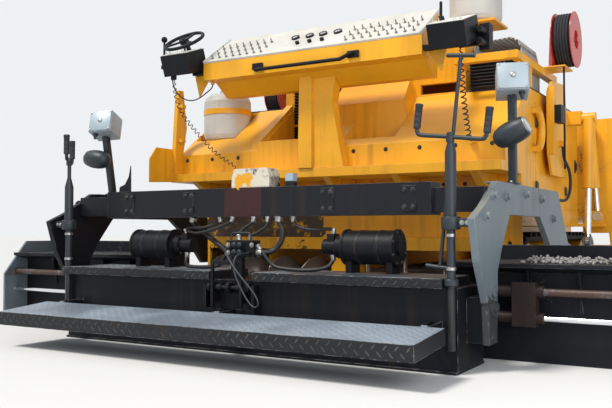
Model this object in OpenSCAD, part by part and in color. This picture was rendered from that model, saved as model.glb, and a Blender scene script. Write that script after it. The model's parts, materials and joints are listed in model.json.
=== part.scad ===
// Tracked asphalt paver with a rear step, a floating screed, two sliding
// extensions and a front hopper with folding wings.
// +Y points to the hopper, +X to the right side, +Z up.
// Every y value below is a distance ahead of the rear edge of the step.

/* [Overall] */
// Length from the step's rear edge to the push rollers
overall_l = 6800; // [6700:10:7000]
// Length of the push rollers ahead of the frame
front_l = 370; // [350:5:390]
// Half width of the yellow body
body_x = 1450; // [1420:5:1480]
// Thickness of the frame plates
plate_t = 25; // [15:1:35]

/* [Tracks] */
// Distance of a track's middle from the centre line
track_x = 1150; // [1140:5:1170]
// Width of a track
track_w = 400; // [360:10:420]
// Radius of the drive and idler wheels
wheel_r = 320; // [300:5:325]
// Distance between drive and idler wheel
wheelbase = 2300; // [2200:10:2320]
// Thickness of the track chain
chain_t = 34; // [25:1:38]
// Height of a shoe's lug above the chain
lug_h = 36; // [20:1:38]
// Number of shoes round a track
shoe_count = 44; // [36:2:46]
// Radius of the bottom rollers
roller_r = 95; // [80:1:110]
// Gap between a track and the frame
frame_gap = 50; // [40:5:60]

/* [Frame] */
// Height of the conveyor floor
floor_z = 420; // [400:5:440]
// Height of the frame's top deck
deck_z = 860; // [850:5:865]
// Rear end of the main frame
frame_rear = 2400; // [2390:5:2410]
// Height of the conveyor slats
slat_h = 30; // [20:1:50]

/* [Body] */
// Rear wall of the body
wall_y = 2200; // [2190:5:2210]
// Rear edge of the ledge above that wall
ledge_y = 1690; // [1660:5:1750]
// Height of the ledge's top
ledge_z = 1280; // [1260:5:1300]
// Height of the walkway
walk_z = 1885; // [1860:5:1900]
// Height of the upright face below the slope
face_z = 1450; // [1420:5:1480]
// Half width of the engine bay
bay_x = 680; // [640:5:700]
// Height of the hood's top
hood_z = 2380; // [2340:5:2400]
// Wall thickness of the hood
hood_t = 40; // [25:1:50]
// Right side of the hood
hood_right = 960; // [940:5:980]
// Number of vents in the hood
vent_count = 10; // [6:1:12]

/* [Console] */
// Half width of the console
console_x = 958; // [900:2:960]
// Rear face of the console
console_y = 1510; // [1490:5:1530]
// Bottom of the console's rear face
console_z = 2020; // [2000:5:2060]
// Thickness of the switch panel
panel_t = 14; // [8:1:20]
// Radius of the steering wheel
steer_r = 165; // [140:5:180]
// Number of slots across the muffler guard
guard_slots = 12; // [8:1:14]

/* [Hopper] */
// Rear face of the hopper's rear wall
hopper_y = 4255; // [4250:1:4260]
// Height of the hopper's rear wall
hopper_z = 1860; // [1800:5:1900]
// Outer reach of a folded down wing
wing_x = 1640; // [1620:5:1660]
// Thickness of the wing sheets
wing_t = 15; // [10:1:20]
// Radius of a wing's hinge pin
hinge_r = 14; // [10:1:18]
// Radius of the push rollers
push_r = 85; // [75:1:95]
// Half width of the push beam
push_x = 1100; // [1050:5:1120]
// Number of ribs on a wing
rib_count = 6; // [4:1:9]

/* [Screed] */
// Half width of the screed
screed_x = 1525; // [1510:5:1530]
// Rear wall of the screed
screed_rear = 620; // [618:1:640]
// Front wall of the screed
screed_front = 1060; // [1040:5:1062]
// Height of the shelf's top
shelf_z = 530; // [515:5:545]
// Thickness of the shelf
shelf_t = 55; // [40:1:60]
// Depth of the rear step
step_l = 420; // [380:5:425]
// Thickness of the step's rim
step_t = 90; // [70:5:100]
// Bottom of the cross beam
beam_z = 890; // [870:5:900]
// Height of the cross beam
beam_h = 195; // [150:5:200]
// Half length of the cross beam
beam_x = 1306; // [1250:2:1310]
// Radius of the two drums on the shelf
drum_r = 107; // [90:1:115]

/* [Arms] */
// Inner face of the arch plates
arch_x = 1620; // [1615:1:1630]
// Thickness of the arch plates
arch_t = 40; // [30:1:50]
// Height of the arch plates
arch_z = 1084; // [1080:1:1100]
// Distance of the tow point ahead of a track
tow_gap = 150; // [130:5:180]
// Height of the tow point
tow_z = 550; // [540:5:560]
// Radius of the tow pin
tow_r = 35; // [25:1:40]

/* [Extensions] */
// Reach of an extension at rest
ext_reach = 2750; // [2700:10:2800]
// Length of an extension
ext_l = 1500; // [1450:10:1520]
// Height of an extension's deck
ext_z = 600; // [580:5:610]
// Radius of the ram's rod
ram_r = 18; // [14:1:20]
// Radius of the guide rod
guide_r = 23; // [18:1:26]
// Thickness of an end gate
gate_t = 20; // [12:1:30]

/* [Augers] */
// Radius of the auger's flights
auger_r = 180; // [160:5:190]
// Radius of the auger's shaft
shaft_r = 40; // [30:1:50]
// Length of one turn of the flight
auger_pitch = 320; // [280:10:400]

/* [Hidden] */
$fn = 48;
// Gap between parts that run on each other
run_gap = 0.05;
// Gap between a part and the seat that carries it
seat_gap = 0.3;
rear = -overall_l / 2;
left = -1;
right = 1;

// Tracks
wheel_z = lug_h + chain_t + wheel_r;
sprocket_y = frame_rear + 50 + wheel_z;
idler_y = sprocket_y + wheelbase;
chain_r = wheel_r + chain_t;
shoe_pitch = (2 * wheelbase + 2 * PI * chain_r) / shoe_count;
// Frame
frame_x = track_x - track_w / 2 - frame_gap;
hopper_front = overall_l - front_l;
tow_y = idler_y + wheel_z + tow_gap;
roof_t = 20;
tie_y = hopper_front - 100;
tie_z = 640;
tie_r = 30;
pod_front = 4140;
fender_z = deck_z - 30;
lug_arm_y = 4200;
// Rear ends of the frame's hinge knuckles
knuckles = [hopper_y + 55, (hopper_y + hopper_front) / 2 + 47, hopper_front - 35];
knuckle_l = 30;
// Slope of the rear body between the ledge and the walkway
slope_y0 = ledge_y + 110;
slope_y1 = frame_rear;
function slope_z(y) = face_z + (y - slope_y0) * (walk_z - face_z) / (slope_y1 - slope_y0);
// [x0, x1] of the open notch, the pocket and the tank recess in the slope
notch = [-620, -140];
notch_z = 1530;
pocket = [140, 580];
pocket_y = [1880, 2110];
tank_x = [20 - body_x, -1000];
// Wing hinge and cylinder, as [x, z] seen from behind
hinge_x = frame_x;
hinge_z = deck_z + 25;
tube_r = hinge_r + 11;
wing_eye = [1560, 1800];
lug_eye = [1620, deck_z + 65];
wing_ram_l = norm(wing_eye - lug_eye);
wing_ram_a = atan2(wing_eye[0] - lug_eye[0], wing_eye[1] - lug_eye[1]);
// Lift cylinder, as [y, z] seen from the side
lift_top = [3720, 1800];
lift_eye = [3600, 700];
lift_l = norm(lift_top - lift_eye);
barrel_l = 640;
lift_a = atan2(lift_top[0] - lift_eye[0], lift_top[1] - lift_eye[1]);
arm_x = arch_x + arch_t / 2;
// Step hinge
step_hinge = [step_l + 30, 262];
step_rise = 5;
step_pin_r = 12;
// Extensions
ram_z = 280;
guide_z = 434;
// Drums and crown adjuster
drum_y = 880;
drum_z = 690;
adjust_z = 425;
guide_y = screed_front + 70;
ext_rear = 1250;
ext_front = 1690;
// Augers
auger_y = wall_y - 70;
auger_z = 400;
auger_end = 1320;
// Push rollers
push_z = 470;
push_y = overall_l - push_r;
push_bar = push_x - 20;
roller_end = push_x - 55;
beam_half = 75;
pivot_y = hopper_front + 125;
pivot_r = 25;
// [y, z] of the bolts on an arch
arch_bolts = [[700, 880], [840, 1000], [1100, 1000], [1540, 1030], [1940, 1010], [2260, 880]];
// Posts on the screed
crank_x = 1500;
crank_y = 590;
crank_z = 1315;
crank_r = 32;
// Loose tee bar, [x, z] of its foot
tee_foot = [1418, 590];
tee_l = 1190;
tee_lean = 6.3;
box_z = 1640;
lamp_z = 1425;
post_y = 1280;
// Steering wheel, reels and hatch
steer_at = [-1130, 1470, 2362];
steer_tilt = 35;
station_tilt = 20;
// [x, y, z, flange radius, height of its stand's foot] of the two hose reels
reel_at = [[-1240, 3000, 2120, 190, walk_z + 12], [1500, 3100, 2367, 230, 2130]];
axle_r = 20;
// Bars round the muffler guard
bar_z = [2060, 2120];
hatch_at = [-650, hood_z + 16];
hatch_r = 8;
hatch_open = 42;

panel_run = norm([370, 260]);
// Routes of the cords, as [x, y, z] points
cable_route = [[-1235, 1450, 2045], [-1235, 1450, 2000], [-1205, 1455, 1940], [-1155, 1470, 1885],
    [-1095, 1490, 1855], [-1035, 1515, 1865], [-990, 1540, 1900], [-955, 1560, 1940],
    [-930, 1582, 1962], [-925, 1590, 1980], [-925, 1590, 2000]];
curly_left_route = [[-1190, 1425, 2040], [-1190, 1425, 1960], [-1185, 1445, 1870],
    [-1160, 1480, 1770], [-1105, 1540, 1660], [-1030, 1600, 1550], [-950, 1650, 1450],
    [-865, 1705, 1375], [-800, 1730, 1330], [-800, 1730, 1300]];
curly_right_route = [[1240, 1500, 2030], [1240, 1500, 1950], [1240, 1520, 1850],
    [1235, 1555, 1750], [1230, 1600, 1650], [1225, 1650, 1560], [1220, 1700, 1480],
    [1220, 1740, 1430], [1220, 1770, 1430]];
hose_route = [[1548, 3110, 1490], [1548, 3110, 1440], [1548, 3150, 1385], [1548, 3230, 1355],
    [1548, 3320, 1320], [1548, 3380, 1250], [1548, 3375, 1160], [1548, 3310, 1085],
    [1548, 3210, 1050], [1548, 3100, 1040], [1548, 3000, 1040], [1548, 2900, 1040]];
loop_route = [[-90, 700, 680], [-90, 665, 680], [-60, 605, 665], [0, 545, 640], [70, 505, 580],
    [150, 495, 500], [235, 490, 425], [280, 490, 370], [285, 494, 328], [250, 500, 310],
    [200, 508, 340], [150, 515, 405], [105, 522, 470], [70, 530, 530], [62, 533, 585],
    [66, 545, 622], [65, 580, 642], [60, 640, 646], [60, 700, 646]];

// Placing helpers
module at(y, z) {
    translate([0, rear + y, z]) children();
}

module block(x0, x1, y0, y1, z0, z1) {
    translate([x0, rear + y0, z0]) cube([x1 - x0, y1 - y0, z1 - z0]);
}

module rod_x(x0, x1, y, z, r) {
    translate([x0, rear + y, z]) rotate([0, 90, 0]) cylinder(h = x1 - x0, r = r);
}

module rod_y(x, y0, y1, z, r) {
    translate([x, rear + y1, z]) rotate([90, 0, 0]) cylinder(h = y1 - y0, r = r);
}

module rod_z(x, y, z0, z1, r) {
    translate([x, rear + y, z0]) cylinder(h = z1 - z0, r = r);
}

// A [y, z] outline drawn across the machine from x0 to x1
module across(x0, x1) {
    translate([x0, rear, 0]) rotate([90, 0, 90]) linear_extrude(x1 - x0) children();
}

// An [x, z] outline drawn along the machine from y0 to y1
module along(y0, y1) {
    translate([0, rear + y1, 0]) rotate([90, 0, 0]) linear_extrude(y1 - y0) children();
}

module on_side(s) {
    mirror([s < 0 ? 1 : 0, 0, 0]) children();
}

module both_sides() {
    for (s = [left, right]) on_side(s) children();
}

// The outline of a belt round two wheels
module belt(r) {
    translate([sprocket_y, wheel_z]) circle(r);
    translate([idler_y, wheel_z]) circle(r);
    translate([sprocket_y, wheel_z - r]) square([wheelbase, 2 * r]);
}

// Main frame: floor, deck and spine plates between two side plates, and the
// front plate with the push beam's pin
module chassis() {
    inner_x = frame_x - plate_t - seat_gap;
    front_y = hopper_front - plate_t;
    color("#3a3f45") {
        block(-inner_x, inner_x, frame_rear, front_y - seat_gap, floor_z, floor_z + roof_t);
        block(-inner_x, inner_x, frame_rear, hopper_y + 85, deck_z - roof_t, deck_z);
        block(-60, 60, frame_rear, front_y - seat_gap, floor_z + roof_t + seat_gap, deck_z - 160);
        block(-frame_x, frame_x, front_y, hopper_front, floor_z, deck_z);
        both_sides() side_plate(front_y - seat_gap);
        block(-40, 40, hopper_front, pivot_y, push_z - 40, push_z + 40);
        rod_z(0, pivot_y, push_z - 40, push_z + 40, 40);
        rod_z(0, pivot_y, push_z - beam_half, push_z + beam_half, pivot_r);
    }
}

// Side plate with its tow bracket, tow pin and the wing's hinge pin
module side_plate(y1) {
    difference() {
        block(frame_x - plate_t, frame_x, frame_rear, y1, floor_z, deck_z);
        rod_x(frame_x - plate_t - 1, frame_x + 1, tie_y, tie_z, tie_r);
    }
    block(frame_x, arch_x - 20, tow_y - 80, tow_y + 80, tow_z - 80, tow_z + 80);
    rod_x(arch_x - 20, arch_x + arch_t + 20, tow_y, tow_z, tow_r);
    rod_y(hinge_x, knuckles[0], hopper_front - 5, hinge_z, hinge_r);
    for (y = knuckles) {
        rod_y(hinge_x, y, y + knuckle_l, hinge_z, tube_r);
        block(hinge_x - tube_r, hinge_x, y, y + knuckle_l, deck_z - 40, hinge_z);
    }
}

module running_gear() {
    color("#d99a1f") both_sides() {
        block(track_x - 80, track_x + 80, sprocket_y, idler_y, 230, 500);
        for (y = [sprocket_y, idler_y]) {
            rod_x(track_x - 150, track_x + 150, y, wheel_z, wheel_r - seat_gap);
        }
        for (i = [0:6]) {
            rod_x(track_x - 150, track_x + 150, sprocket_y + 430 + 240 * i,
                lug_h + chain_t + roller_r + seat_gap, roller_r);
        }
        for (y = [sprocket_y + 800, sprocket_y + 1500]) {
            rod_x(track_x - 120, track_x + 120, y, wheel_z + wheel_r - 60 - seat_gap, 60);
            block(track_x - 60, track_x + 60, y - 40, y + 40, 480, wheel_z + wheel_r - 80);
            block(frame_x, track_x - 80, y - 150, y + 150, 260, 480);
        }
    }
}

// One track: chain and shoes in a single closed outline
module track(s) {
    color("#2b2b2c") on_side(s) across(track_x - track_w / 2, track_x + track_w / 2) {
        difference() {
            union() {
                belt(chain_r);
                shoe_lugs();
            }
            belt(wheel_r);
        }
    }
}

// Lugs placed along the straight runs and round the wheels
module shoe_lugs() {
    run_count = floor(wheelbase / shoe_pitch);
    turn_count = floor(PI * chain_r / shoe_pitch);
    for (i = [0:run_count]) {
        y = sprocket_y + i * wheelbase / run_count;
        lug_at(y, wheel_z, 0);
        lug_at(y, wheel_z, 180);
    }
    for (i = [1:turn_count]) {
        a = i * 180 / (turn_count + 1);
        lug_at(idler_y, wheel_z, -a);
        lug_at(sprocket_y, wheel_z, a);
    }
}

module lug_at(y, z, a) {
    translate([y, z]) rotate(a) polygon([
        [-24, wheel_r + 4], [-14, chain_r + lug_h], [14, chain_r + lug_h], [24, wheel_r + 4]]);
}

// Slatted floor plates of the two conveyors
module conveyors() {
    color("#4a4643") both_sides() {
        block(62, frame_x - plate_t - 2, frame_rear + 10, hopper_front - plate_t - 5,
            floor_z + roof_t, floor_z + roof_t + 8);
        for (y = [frame_rear + 40:240:hopper_front - 120]) {
            block(70, frame_x - plate_t - 10, y, y + 30, floor_z + roof_t + 8,
                floor_z + roof_t + 8 + slat_h);
        }
    }
}

module auger_frame() {
    color("#d99a1f") {
        difference() {
            union() {
                block(-auger_end - 30, auger_end + 30, wall_y - 120, wall_y, 640, 740);
                block(-70, 70, auger_y - 60, auger_y + 60, auger_z - 90, 640);
                both_sides() block(auger_end + 5, auger_end + 30, auger_y - 50, auger_y + 50,
                    auger_z - 60, 640);
            }
            rod_x(-auger_end - 80, auger_end + 80, auger_y, auger_z, shaft_r + run_gap);
        }
    }
}

// Shaft and one screw flight; the flight is wound the other way on the left
module auger(s) {
    flight_l = auger_end - 90;
    color("#5b5450") on_side(s) {
        rod_x(10, auger_end + 25, auger_y, auger_z, shaft_r);
        translate([80, rear + auger_y, auger_z]) rotate([0, 90, 0])
            linear_extrude(height = flight_l, twist = -360 * flight_l / auger_pitch,
                slices = floor(12 * flight_l / auger_pitch))
                translate([shaft_r + seat_gap, -9]) square([auger_r - shaft_r, 18]);
    }
}

// Rear housing: a ledge, an upright face and a slope with a notch and a pocket
module rear_body() {
    color("#e0a020") {
        difference() {
            union() {
                across(-body_x, body_x) polygon([
                    [wall_y, 640], [wall_y, ledge_z - 70], [ledge_y, ledge_z - 70],
                    [ledge_y, ledge_z], [slope_y0, ledge_z], [slope_y0, face_z],
                    [slope_y1, walk_z], [slope_y1 + 50, walk_z], [slope_y1 + 50, deck_z],
                    [wall_y + 25, deck_z], [wall_y + 25, 640]]);
                block(notch[0], notch[1], slope_y0, slope_y0 + 150, ledge_z, notch_z);
                duct();
            }
            block(tank_x[0], tank_x[1], 1950, slope_y1 + 25, 1600, walk_z + 1);
            block(notch[0], notch[1], slope_y0 - 1, slope_y1, notch_z, walk_z + 1);
            block(pocket[0], pocket[1], pocket_y[0], pocket_y[1], slope_z(pocket_y[0]), walk_z + 1);
        }
        across(notch[0] - 80, notch[0] - 10) polygon([
            [slope_y0 + 20, slope_z(slope_y0 + 20)], [slope_y0 + 40, slope_z(slope_y0 + 40) + 45],
            [slope_y1 - 20, slope_z(slope_y1 - 20) + 45], [slope_y1 - 20, slope_z(slope_y1 - 20)]]);
        for (x = [-1240, -570, 50, 630, 1240]) ledge_gusset(x);
        rod_z(curly_left_route[9][0], curly_left_route[9][1], ledge_z, curly_left_route[9][2], 22);
        rod_y(curly_right_route[8][0], curly_right_route[8][1], slope_y0, curly_right_route[8][2], 26);
    }
}

// Swelling above the pocket, narrower towards its top
module duct() {
    intersection() {
        across(-150, pocket[1]) polygon([
            [pocket_y[1], face_z + 40], [pocket_y[1], 1825], [slope_y1 - 40, 2025],
            [slope_y1, 2025], [slope_y1, face_z + 40]]);
        along(pocket_y[1], slope_y1) polygon([
            [-110, face_z], [-110, 2025], [505, 2025], [560, 1825], [pocket[1], 1690],
            [pocket[1], face_z]]);
    }
}

// Rib that carries the ledge from below
module ledge_gusset(x) {
    across(x - 30, x + 30) polygon([
        [ledge_y + 60, ledge_z - 70], [wall_y, ledge_z - 70], [wall_y, ledge_z - 330]]);
}

// Slatted screens over the dark openings at the top of the slope
module louvres() {
    color("#2a2a2b") {
        louvre(notch[0], notch[1] - 20, notch_z, 1720);
        louvre(notch[0], notch[1] - 20, 1740, walk_z + 155);
        louvre(hood_right + 45, body_x - 65, walk_z + 12, bar_z[1]);
    }
}

module louvre(x0, x1, z0, z1) {
    pitch = 26;
    block(x0, x1, slope_y1 - 8, slope_y1 - seat_gap, z0, z1);
    for (z = [z0 + 6:pitch:z1 - pitch]) {
        across(x0, x1) polygon([
            [slope_y1 - 8, z], [slope_y1 - 8, z + 6], [slope_y1 - 26, z + 16], [slope_y1 - 26, z + 10]]);
    }
}

module side_pods() {
    color("#e0a020") both_sides() {
        block(bay_x, body_x, slope_y1 + 50, pod_front, deck_z, walk_z);
        block(frame_x, body_x, wall_y + 25, hopper_y - 5, fender_z, deck_z);
        block(body_x, lug_eye[0] + 70, lug_arm_y - 50, lug_arm_y + 50, fender_z, deck_z);
        wing_lug();
        lift_bracket();
        for (door = [[2600, 3080], [3600, 4060]]) {
            block(body_x, body_x + 6, door[0], door[1], deck_z + 120, walk_z - 90);
        }
        block(body_x, hose_route[11][0] + 15, 2860, hose_route[11][1], hose_route[11][2] - 20,
            hose_route[11][2] + 20);
    }
}

// Two ears that carry the lower eye of a wing cylinder
module wing_lug() {
    for (y = [lug_arm_y - 48, lug_arm_y + 34]) {
        difference() {
            block(lug_eye[0] - 55, lug_eye[0] + 55, y, y + 14, deck_z, lug_eye[1] + 55);
            rod_y(lug_eye[0], y - 1, y + 15, lug_eye[1], 38);
        }
    }
}

module lift_bracket() {
    block(body_x, arm_x - 60, lift_top[0] - 50, lift_top[0] + 50, lift_top[1] - 60,
        lift_top[1] + 60);
}

module walkway() {
    color("#3b3f44") {
        block(-body_x, -bay_x - hood_t, slope_y1 + 26, pod_front, walk_z, walk_z + 12);
        block(hood_right, body_x, slope_y1, pod_front, walk_z, walk_z + 12);
    }
}

module engine() {
    color("#55595c") block(-450, 450, 2900, 4000, deck_z, 1650);
}

// Hollow enclosure above the engine bay
module hood() {
    x0 = -bay_x - hood_t;
    color("#e0a020") difference() {
        block(x0, hood_right, slope_y1, pod_front, walk_z, hood_z);
        block(x0 + hood_t, hood_right - hood_t, slope_y1 + hood_t, pod_front - hood_t,
            walk_z - 1, hood_z - hood_t);
        block(580, hood_right - 60, slope_y1 - 1, slope_y1 + hood_t + 1, walk_z + 15, walk_z + 95);
        for (i = [0:vent_count - 1]) {
            y = 3000 + i * 900 / vent_count;
            block(x0 - 1, x0 + hood_t + 1, y, y + 35, walk_z + 100, hood_z - 100);
            block(-250, 650, y, y + 35, hood_z - hood_t - 1, hood_z + 1);
        }
    }
    color("#e0a020") {
        rod_y(hatch_at[0], 3106, 3394, hatch_at[1], 12);
        block(hatch_at[0] - 12, hatch_at[0] + 12, 3106, 3394, hood_z, hatch_at[1]);
        rod_y(hatch_at[0], 3010, 3490, hatch_at[1], hatch_r);
    }
}

// Console housing with its soffit, folded column and station brackets
module console() {
    color("#e5a526") {
        across(-console_x, console_x) polygon([
            [console_y, console_z], [console_y, console_z + 140], [console_y + 370, console_z + 400],
            [console_y + 390, console_z + 270], [console_y + 130, console_z]]);
        across(30 - console_x, console_x - 30) polygon([
            [console_y + 130, console_z], [console_y + 280, console_z - 105],
            [console_y + 360, console_z - 105], [console_y + 390, console_z + 270]]);
        along(ledge_y + 10, slope_y0) polygon([
            [-30, ledge_z], [235, ledge_z], [138, 1785], [175, console_z], [-30, console_z]]);
        along(ledge_y - 15, slope_y0) polygon([
            [-155, ledge_z], [-30, ledge_z], [-30, console_z], [-140, console_z]]);
        across(100, 112) polygon([
            [slope_y0, face_z], [slope_y0, console_z - 50], [slope_y0 + 20, console_z - 50],
            [pocket_y[0], slope_z(pocket_y[0])]]);
        rod_z(cable_route[10][0], cable_route[10][1], cable_route[10][2], console_z, 15);
        both_sides() along(console_y + 82, console_y + 97) polygon([
            [console_x, console_z + 70], [1110, console_z + 60], [1066, console_z - 110],
            [console_x + 30, console_z]]);
    }
}

module switch_panel() {
    color("#e8e4df") panel_plane() {
        translate([-console_x, 0, 0]) cube([2 * console_x, panel_run, panel_t]);
        for (x = [-console_x, console_x - 12]) translate([x, 0, panel_t]) cube([12, panel_run, 8]);
    }
}

// The tilted plane of the switch panel, from its rear edge up
module panel_plane() {
    translate([0, rear + console_y, console_z + 140]) rotate([atan2(260, 370), 0, 0]) children();
}

// Handrail, gauges and the rows of switches
module console_fittings() {
    rail_z = console_z + 12;
    color("#22252b") {
        for (x = [-415, 425]) block(x - 45, x + 45, console_y - 22, console_y, rail_z + 22, rail_z + 72);
        rod_x(-415, 330, console_y - 42, rail_z + 16, 14);
        for (x = [-415, 425]) rod_y(x, console_y - 42, console_y - 20, rail_z + (x < 0 ? 16 : 50), 14);
        translate([330, rear + console_y - 42, rail_z + 16]) rotate([0, 90 - atan2(34, 95), 0])
            cylinder(h = norm([34, 95]), r = 14);
        for (bend = [[-415, 16], [330, 16], [425, 50]]) {
            translate([bend[0], rear + console_y - 42, rail_z + bend[1]]) sphere(r = 14.5);
        }
        panel_plane() {
            for (x = [-190, -60, 60, 190]) translate([x, 250, panel_t]) cylinder(h = 10, r = 34);
            for (x = [-110, 0, 110]) translate([x, 120, panel_t]) cylinder(h = 22, r = 16);
        }
    }
}

// Toggle boots, [first x, count] of each group
module switches() {
    color("#9a9a96") panel_plane() {
        for (group = [[-890, 8], [340, 9]]) {
            for (i = [0:group[1] - 1], y = [55, 150, 245]) {
                translate([group[0] + 68 * i, y, panel_t]) {
                    cylinder(h = 8, r = 11);
                    cylinder(h = 34, r = 5);
                }
            }
        }
    }
}

// Tilted control boxes beside the console, with their arms
module operator_stations() {
    color("#2a2e38") {
        station_box(-1270, 1390, 2062, [280, 230, 170]);
        block(-1090, -console_x, 1530, 1590, 2080, 2120);
        station_box(1090, 1310, 1990, [260, 280, 165]);
        block(console_x, 1200, 1525, 1575, 2050, 2085);
        block(1350, 1420, 1560, 1640, 2010, 2190);
        for (z = [2030, 2110]) rod_y(1385, 1450, 1560, z + 20, 22);
        block(1200, 1352, 1570, 1600, 2050, 2085);
        block(-1362, -1269, 1450, 1490, 2150, 2180);
        translate([-1345, rear + 1470, 2170]) {
            cylinder(h = 230, r = 9);
            translate([0, 0, 230]) sphere(r = 26);
        }
        translate([1140, rear + 1400, 2160]) {
            cylinder(h = 70, r1 = 38, r2 = 20);
            cylinder(h = 170, r = 10);
        }
        for (route = [cable_route, curly_left_route, curly_right_route]) {
            rod_z(route[0][0], route[0][1], route[0][2], 2090, 15);
        }
        block(1560, 1612, 2770, 2900, 1650, 1790);
        rod_z(1600, 2940, 1290, bar_z[1], 8);
        steer_place() translate([0, 0, -150]) cylinder(h = 130, r = 30);
        steer_place() translate([0, 0, -150]) cylinder(h = 176, r = 12);
    }
}

// Box of [width, depth, height] that leans to the rear
module station_box(x, y, z, size) {
    translate([x, rear + y, z]) rotate([station_tilt, 0, 0]) cube(size);
}

module steer_place() {
    translate([steer_at[0], rear + steer_at[1], steer_at[2]]) rotate([steer_tilt, 0, 0]) children();
}

module steering_wheel() {
    color("#2b2c2e") steer_place() {
        rotate_extrude() translate([steer_r, 0]) circle(14);
        difference() {
            union() {
                cylinder(h = 39, r = 40, center = true);
                for (a = [90, 210, 330]) rotate(a) translate([0, -14, -6]) cube([steer_r, 28, 12]);
            }
            cylinder(h = 60, r = 12 + run_gap, center = true);
        }
    }
}

// Tank turned from its half outline, with a neck and a cap
module tank(x, y, z, r, h) {
    translate([x, rear + y, z]) rotate_extrude() polygon([
        [0, 0], [r - 35, 0], [r - 10, 15], [r, 50], [r, h - 70], [r - 15, h - 30], [r - 60, h],
        [70, h + 12], [70, h + 40], [0, h + 40]]);
}

module water_tanks() {
    color("#e9e7e2") {
        tank(-1215, 2188, 1600, 212, 420);
        tank(935, 2740, walk_z + 615, 215, 360);
    }
}

// Slotted arch over the muffler
module muffler_guard() {
    color("#8a8d90") difference() {
        along(2560, 3060) difference() {
            polygon([[975, walk_z + 12], [975, 2270], [1010, 2310], [1280, 2325], [1345, 2290],
                [1375, 2160], [1375, walk_z + 12]]);
            polygon([[987, walk_z + 11], [987, 2265], [1015, 2298], [1275, 2313], [1335, 2282],
                [1363, 2158], [1363, walk_z + 11]]);
        }
        for (i = [0:guard_slots - 1]) {
            y = 2585 + i * 455 / guard_slots;
            block(1000, 1400, y, y + 18, 2180, 2330);
            block(970, 1380, y, y + 18, walk_z + 60, 2140);
        }
    }
    color("#4b4d50") {
        rod_y(1180, 2600, 3020, walk_z + 150, 125);
        for (y = [2680, 2920]) block(1080, 1280, y, y + 30, walk_z + 12, walk_z + 60);
    }
}

// Raised lid on the hood, with its hinge knuckles
module hatch() {
    color("#e0a020") translate([hatch_at[0], rear, hatch_at[1]]) rotate([0, -hatch_open, 0]) difference() {
        union() {
            translate([20, 3000, 0]) cube([540, 500, 12]);
            for (y = [3020, 3400]) {
                translate([0, y, 0]) cube([22, 80, 12]);
                translate([0, y, 0]) rotate([-90, 0, 0]) cylinder(h = 80, r = 14);
            }
        }
        translate([0, 2999, 0]) rotate([-90, 0, 0]) cylinder(h = 502, r = hatch_r + run_gap);
    }
}

// Stands with the axle stubs that the reels turn on, and the right hanger
module reel_stands() {
    color("#c8382e") for (r = reel_at) {
        across(r[0] - 40, r[0] - 10) polygon([
            [r[1] - 90, r[4]], [r[1] + 90, r[4]], [r[1] + 40, r[2] + 40], [r[1] - 40, r[2] + 40]]);
        block(r[0] - 100, r[0] - 10, r[1] - 70, r[1] + 70, r[4], r[4] + 10);
        rod_x(r[0] - 10, r[0] + 180, r[1], r[2], axle_r);
    }
}

// Spool with two flanges and a wound drum, [x, y, z, flange radius]
module reel(r) {
    color("#c8382e") difference() {
        union() {
            for (x = [6, 158]) {
                rod_x(r[0] + x, r[0] + x + 8, r[1], r[2], r[3]);
            }
            rod_x(r[0] + 6, r[0] + 166, r[1], r[2], r[3] * 0.4);
            rod_x(r[0] + 14, r[0] + 158, r[1], r[2], r[3] * 0.78);
        }
        rod_x(r[0] + 130, r[0] + 170, r[1], r[2], r[3] * 0.34);
        rod_x(r[0], r[0] + 170, r[1], r[2], axle_r + run_gap);
    }
}

// Bars round the guard with the right tank's shelf, the left tank's strap, and the
// leaning plates at the body's sides, the right one with its bent pipe
module side_frames() {
    color("#e0a020") {
        across(-body_x, 40 - body_x) polygon([
            [1700, ledge_z], [slope_y0, ledge_z], [slope_y0, face_z], [1850, 1700], [1800, 2020],
            [1740, 2020], [1700, 1500]]);
        for (z = [1560, 1860]) block(40 - body_x, 90 - body_x, 1730, 1775, z, z + 30);
        across(-body_x - 12, -body_x) polygon([
            [1420, 1200], [ledge_y + 110, ledge_z - 60], [ledge_y + 110, 1500], [1500, 1500],
            [1420, 1400]]);
        across(1500, 1520) polygon([
            [2760, 1400], [2860, 1240], [3380, 1240], [3400, 1560], [3340, 2040], [2880, 2000],
            [2760, 1900]]);
        for (z = [1400, 1800]) block(body_x, 1500, 3130, 3200, z, z + 60);
        block(1520, 1560, 2760, 2820, 1400, 1940);
        translate([1490, rear + 2500, 1570]) rotate([90, 0, 90]) rotate([0, 0, -80])
            rotate_extrude(angle = 160) translate([150, 0]) circle(28);
        for (z = [1422, 1718]) block(body_x, 1490, 2500, 2545, z - 20, z + 20);
        block(1520, 1575, 3085, 3135, hose_route[0][2], hose_route[0][2] + 45);
        block(640, 1150, 2560, 2920, walk_z + 595, walk_z + 615);
        block(700, hood_right - 20, 2600, 2880, hood_z, walk_z + 595);
        block(1390, body_x, 2130, 3350, bar_z[0], bar_z[1]);
        for (y = [2500, 3290]) block(1395, body_x - 5, y, y + 50, walk_z + 12, bar_z[0]);
        block(hood_right, 1390, 2130, 2190, bar_z[0], bar_z[1]);
        block(hood_right, hood_right + 40, 2190, slope_y1 + 60, bar_z[0], bar_z[1]);
        block(1380, 1620, 2900, 3180, bar_z[1], bar_z[1] + 10);
        translate([-1215, rear + 2188, 1830]) difference() {
            cylinder(h = 50, r = 216);
            translate([0, 0, -1]) cylinder(h = 52, r = 212 + seat_gap);
        }
    }
}

module hopper_wall() {
    color("#e0a020") block(-frame_x + 5, frame_x - 5, hopper_y, hopper_y + 45, deck_z, hopper_z);
}

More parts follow.
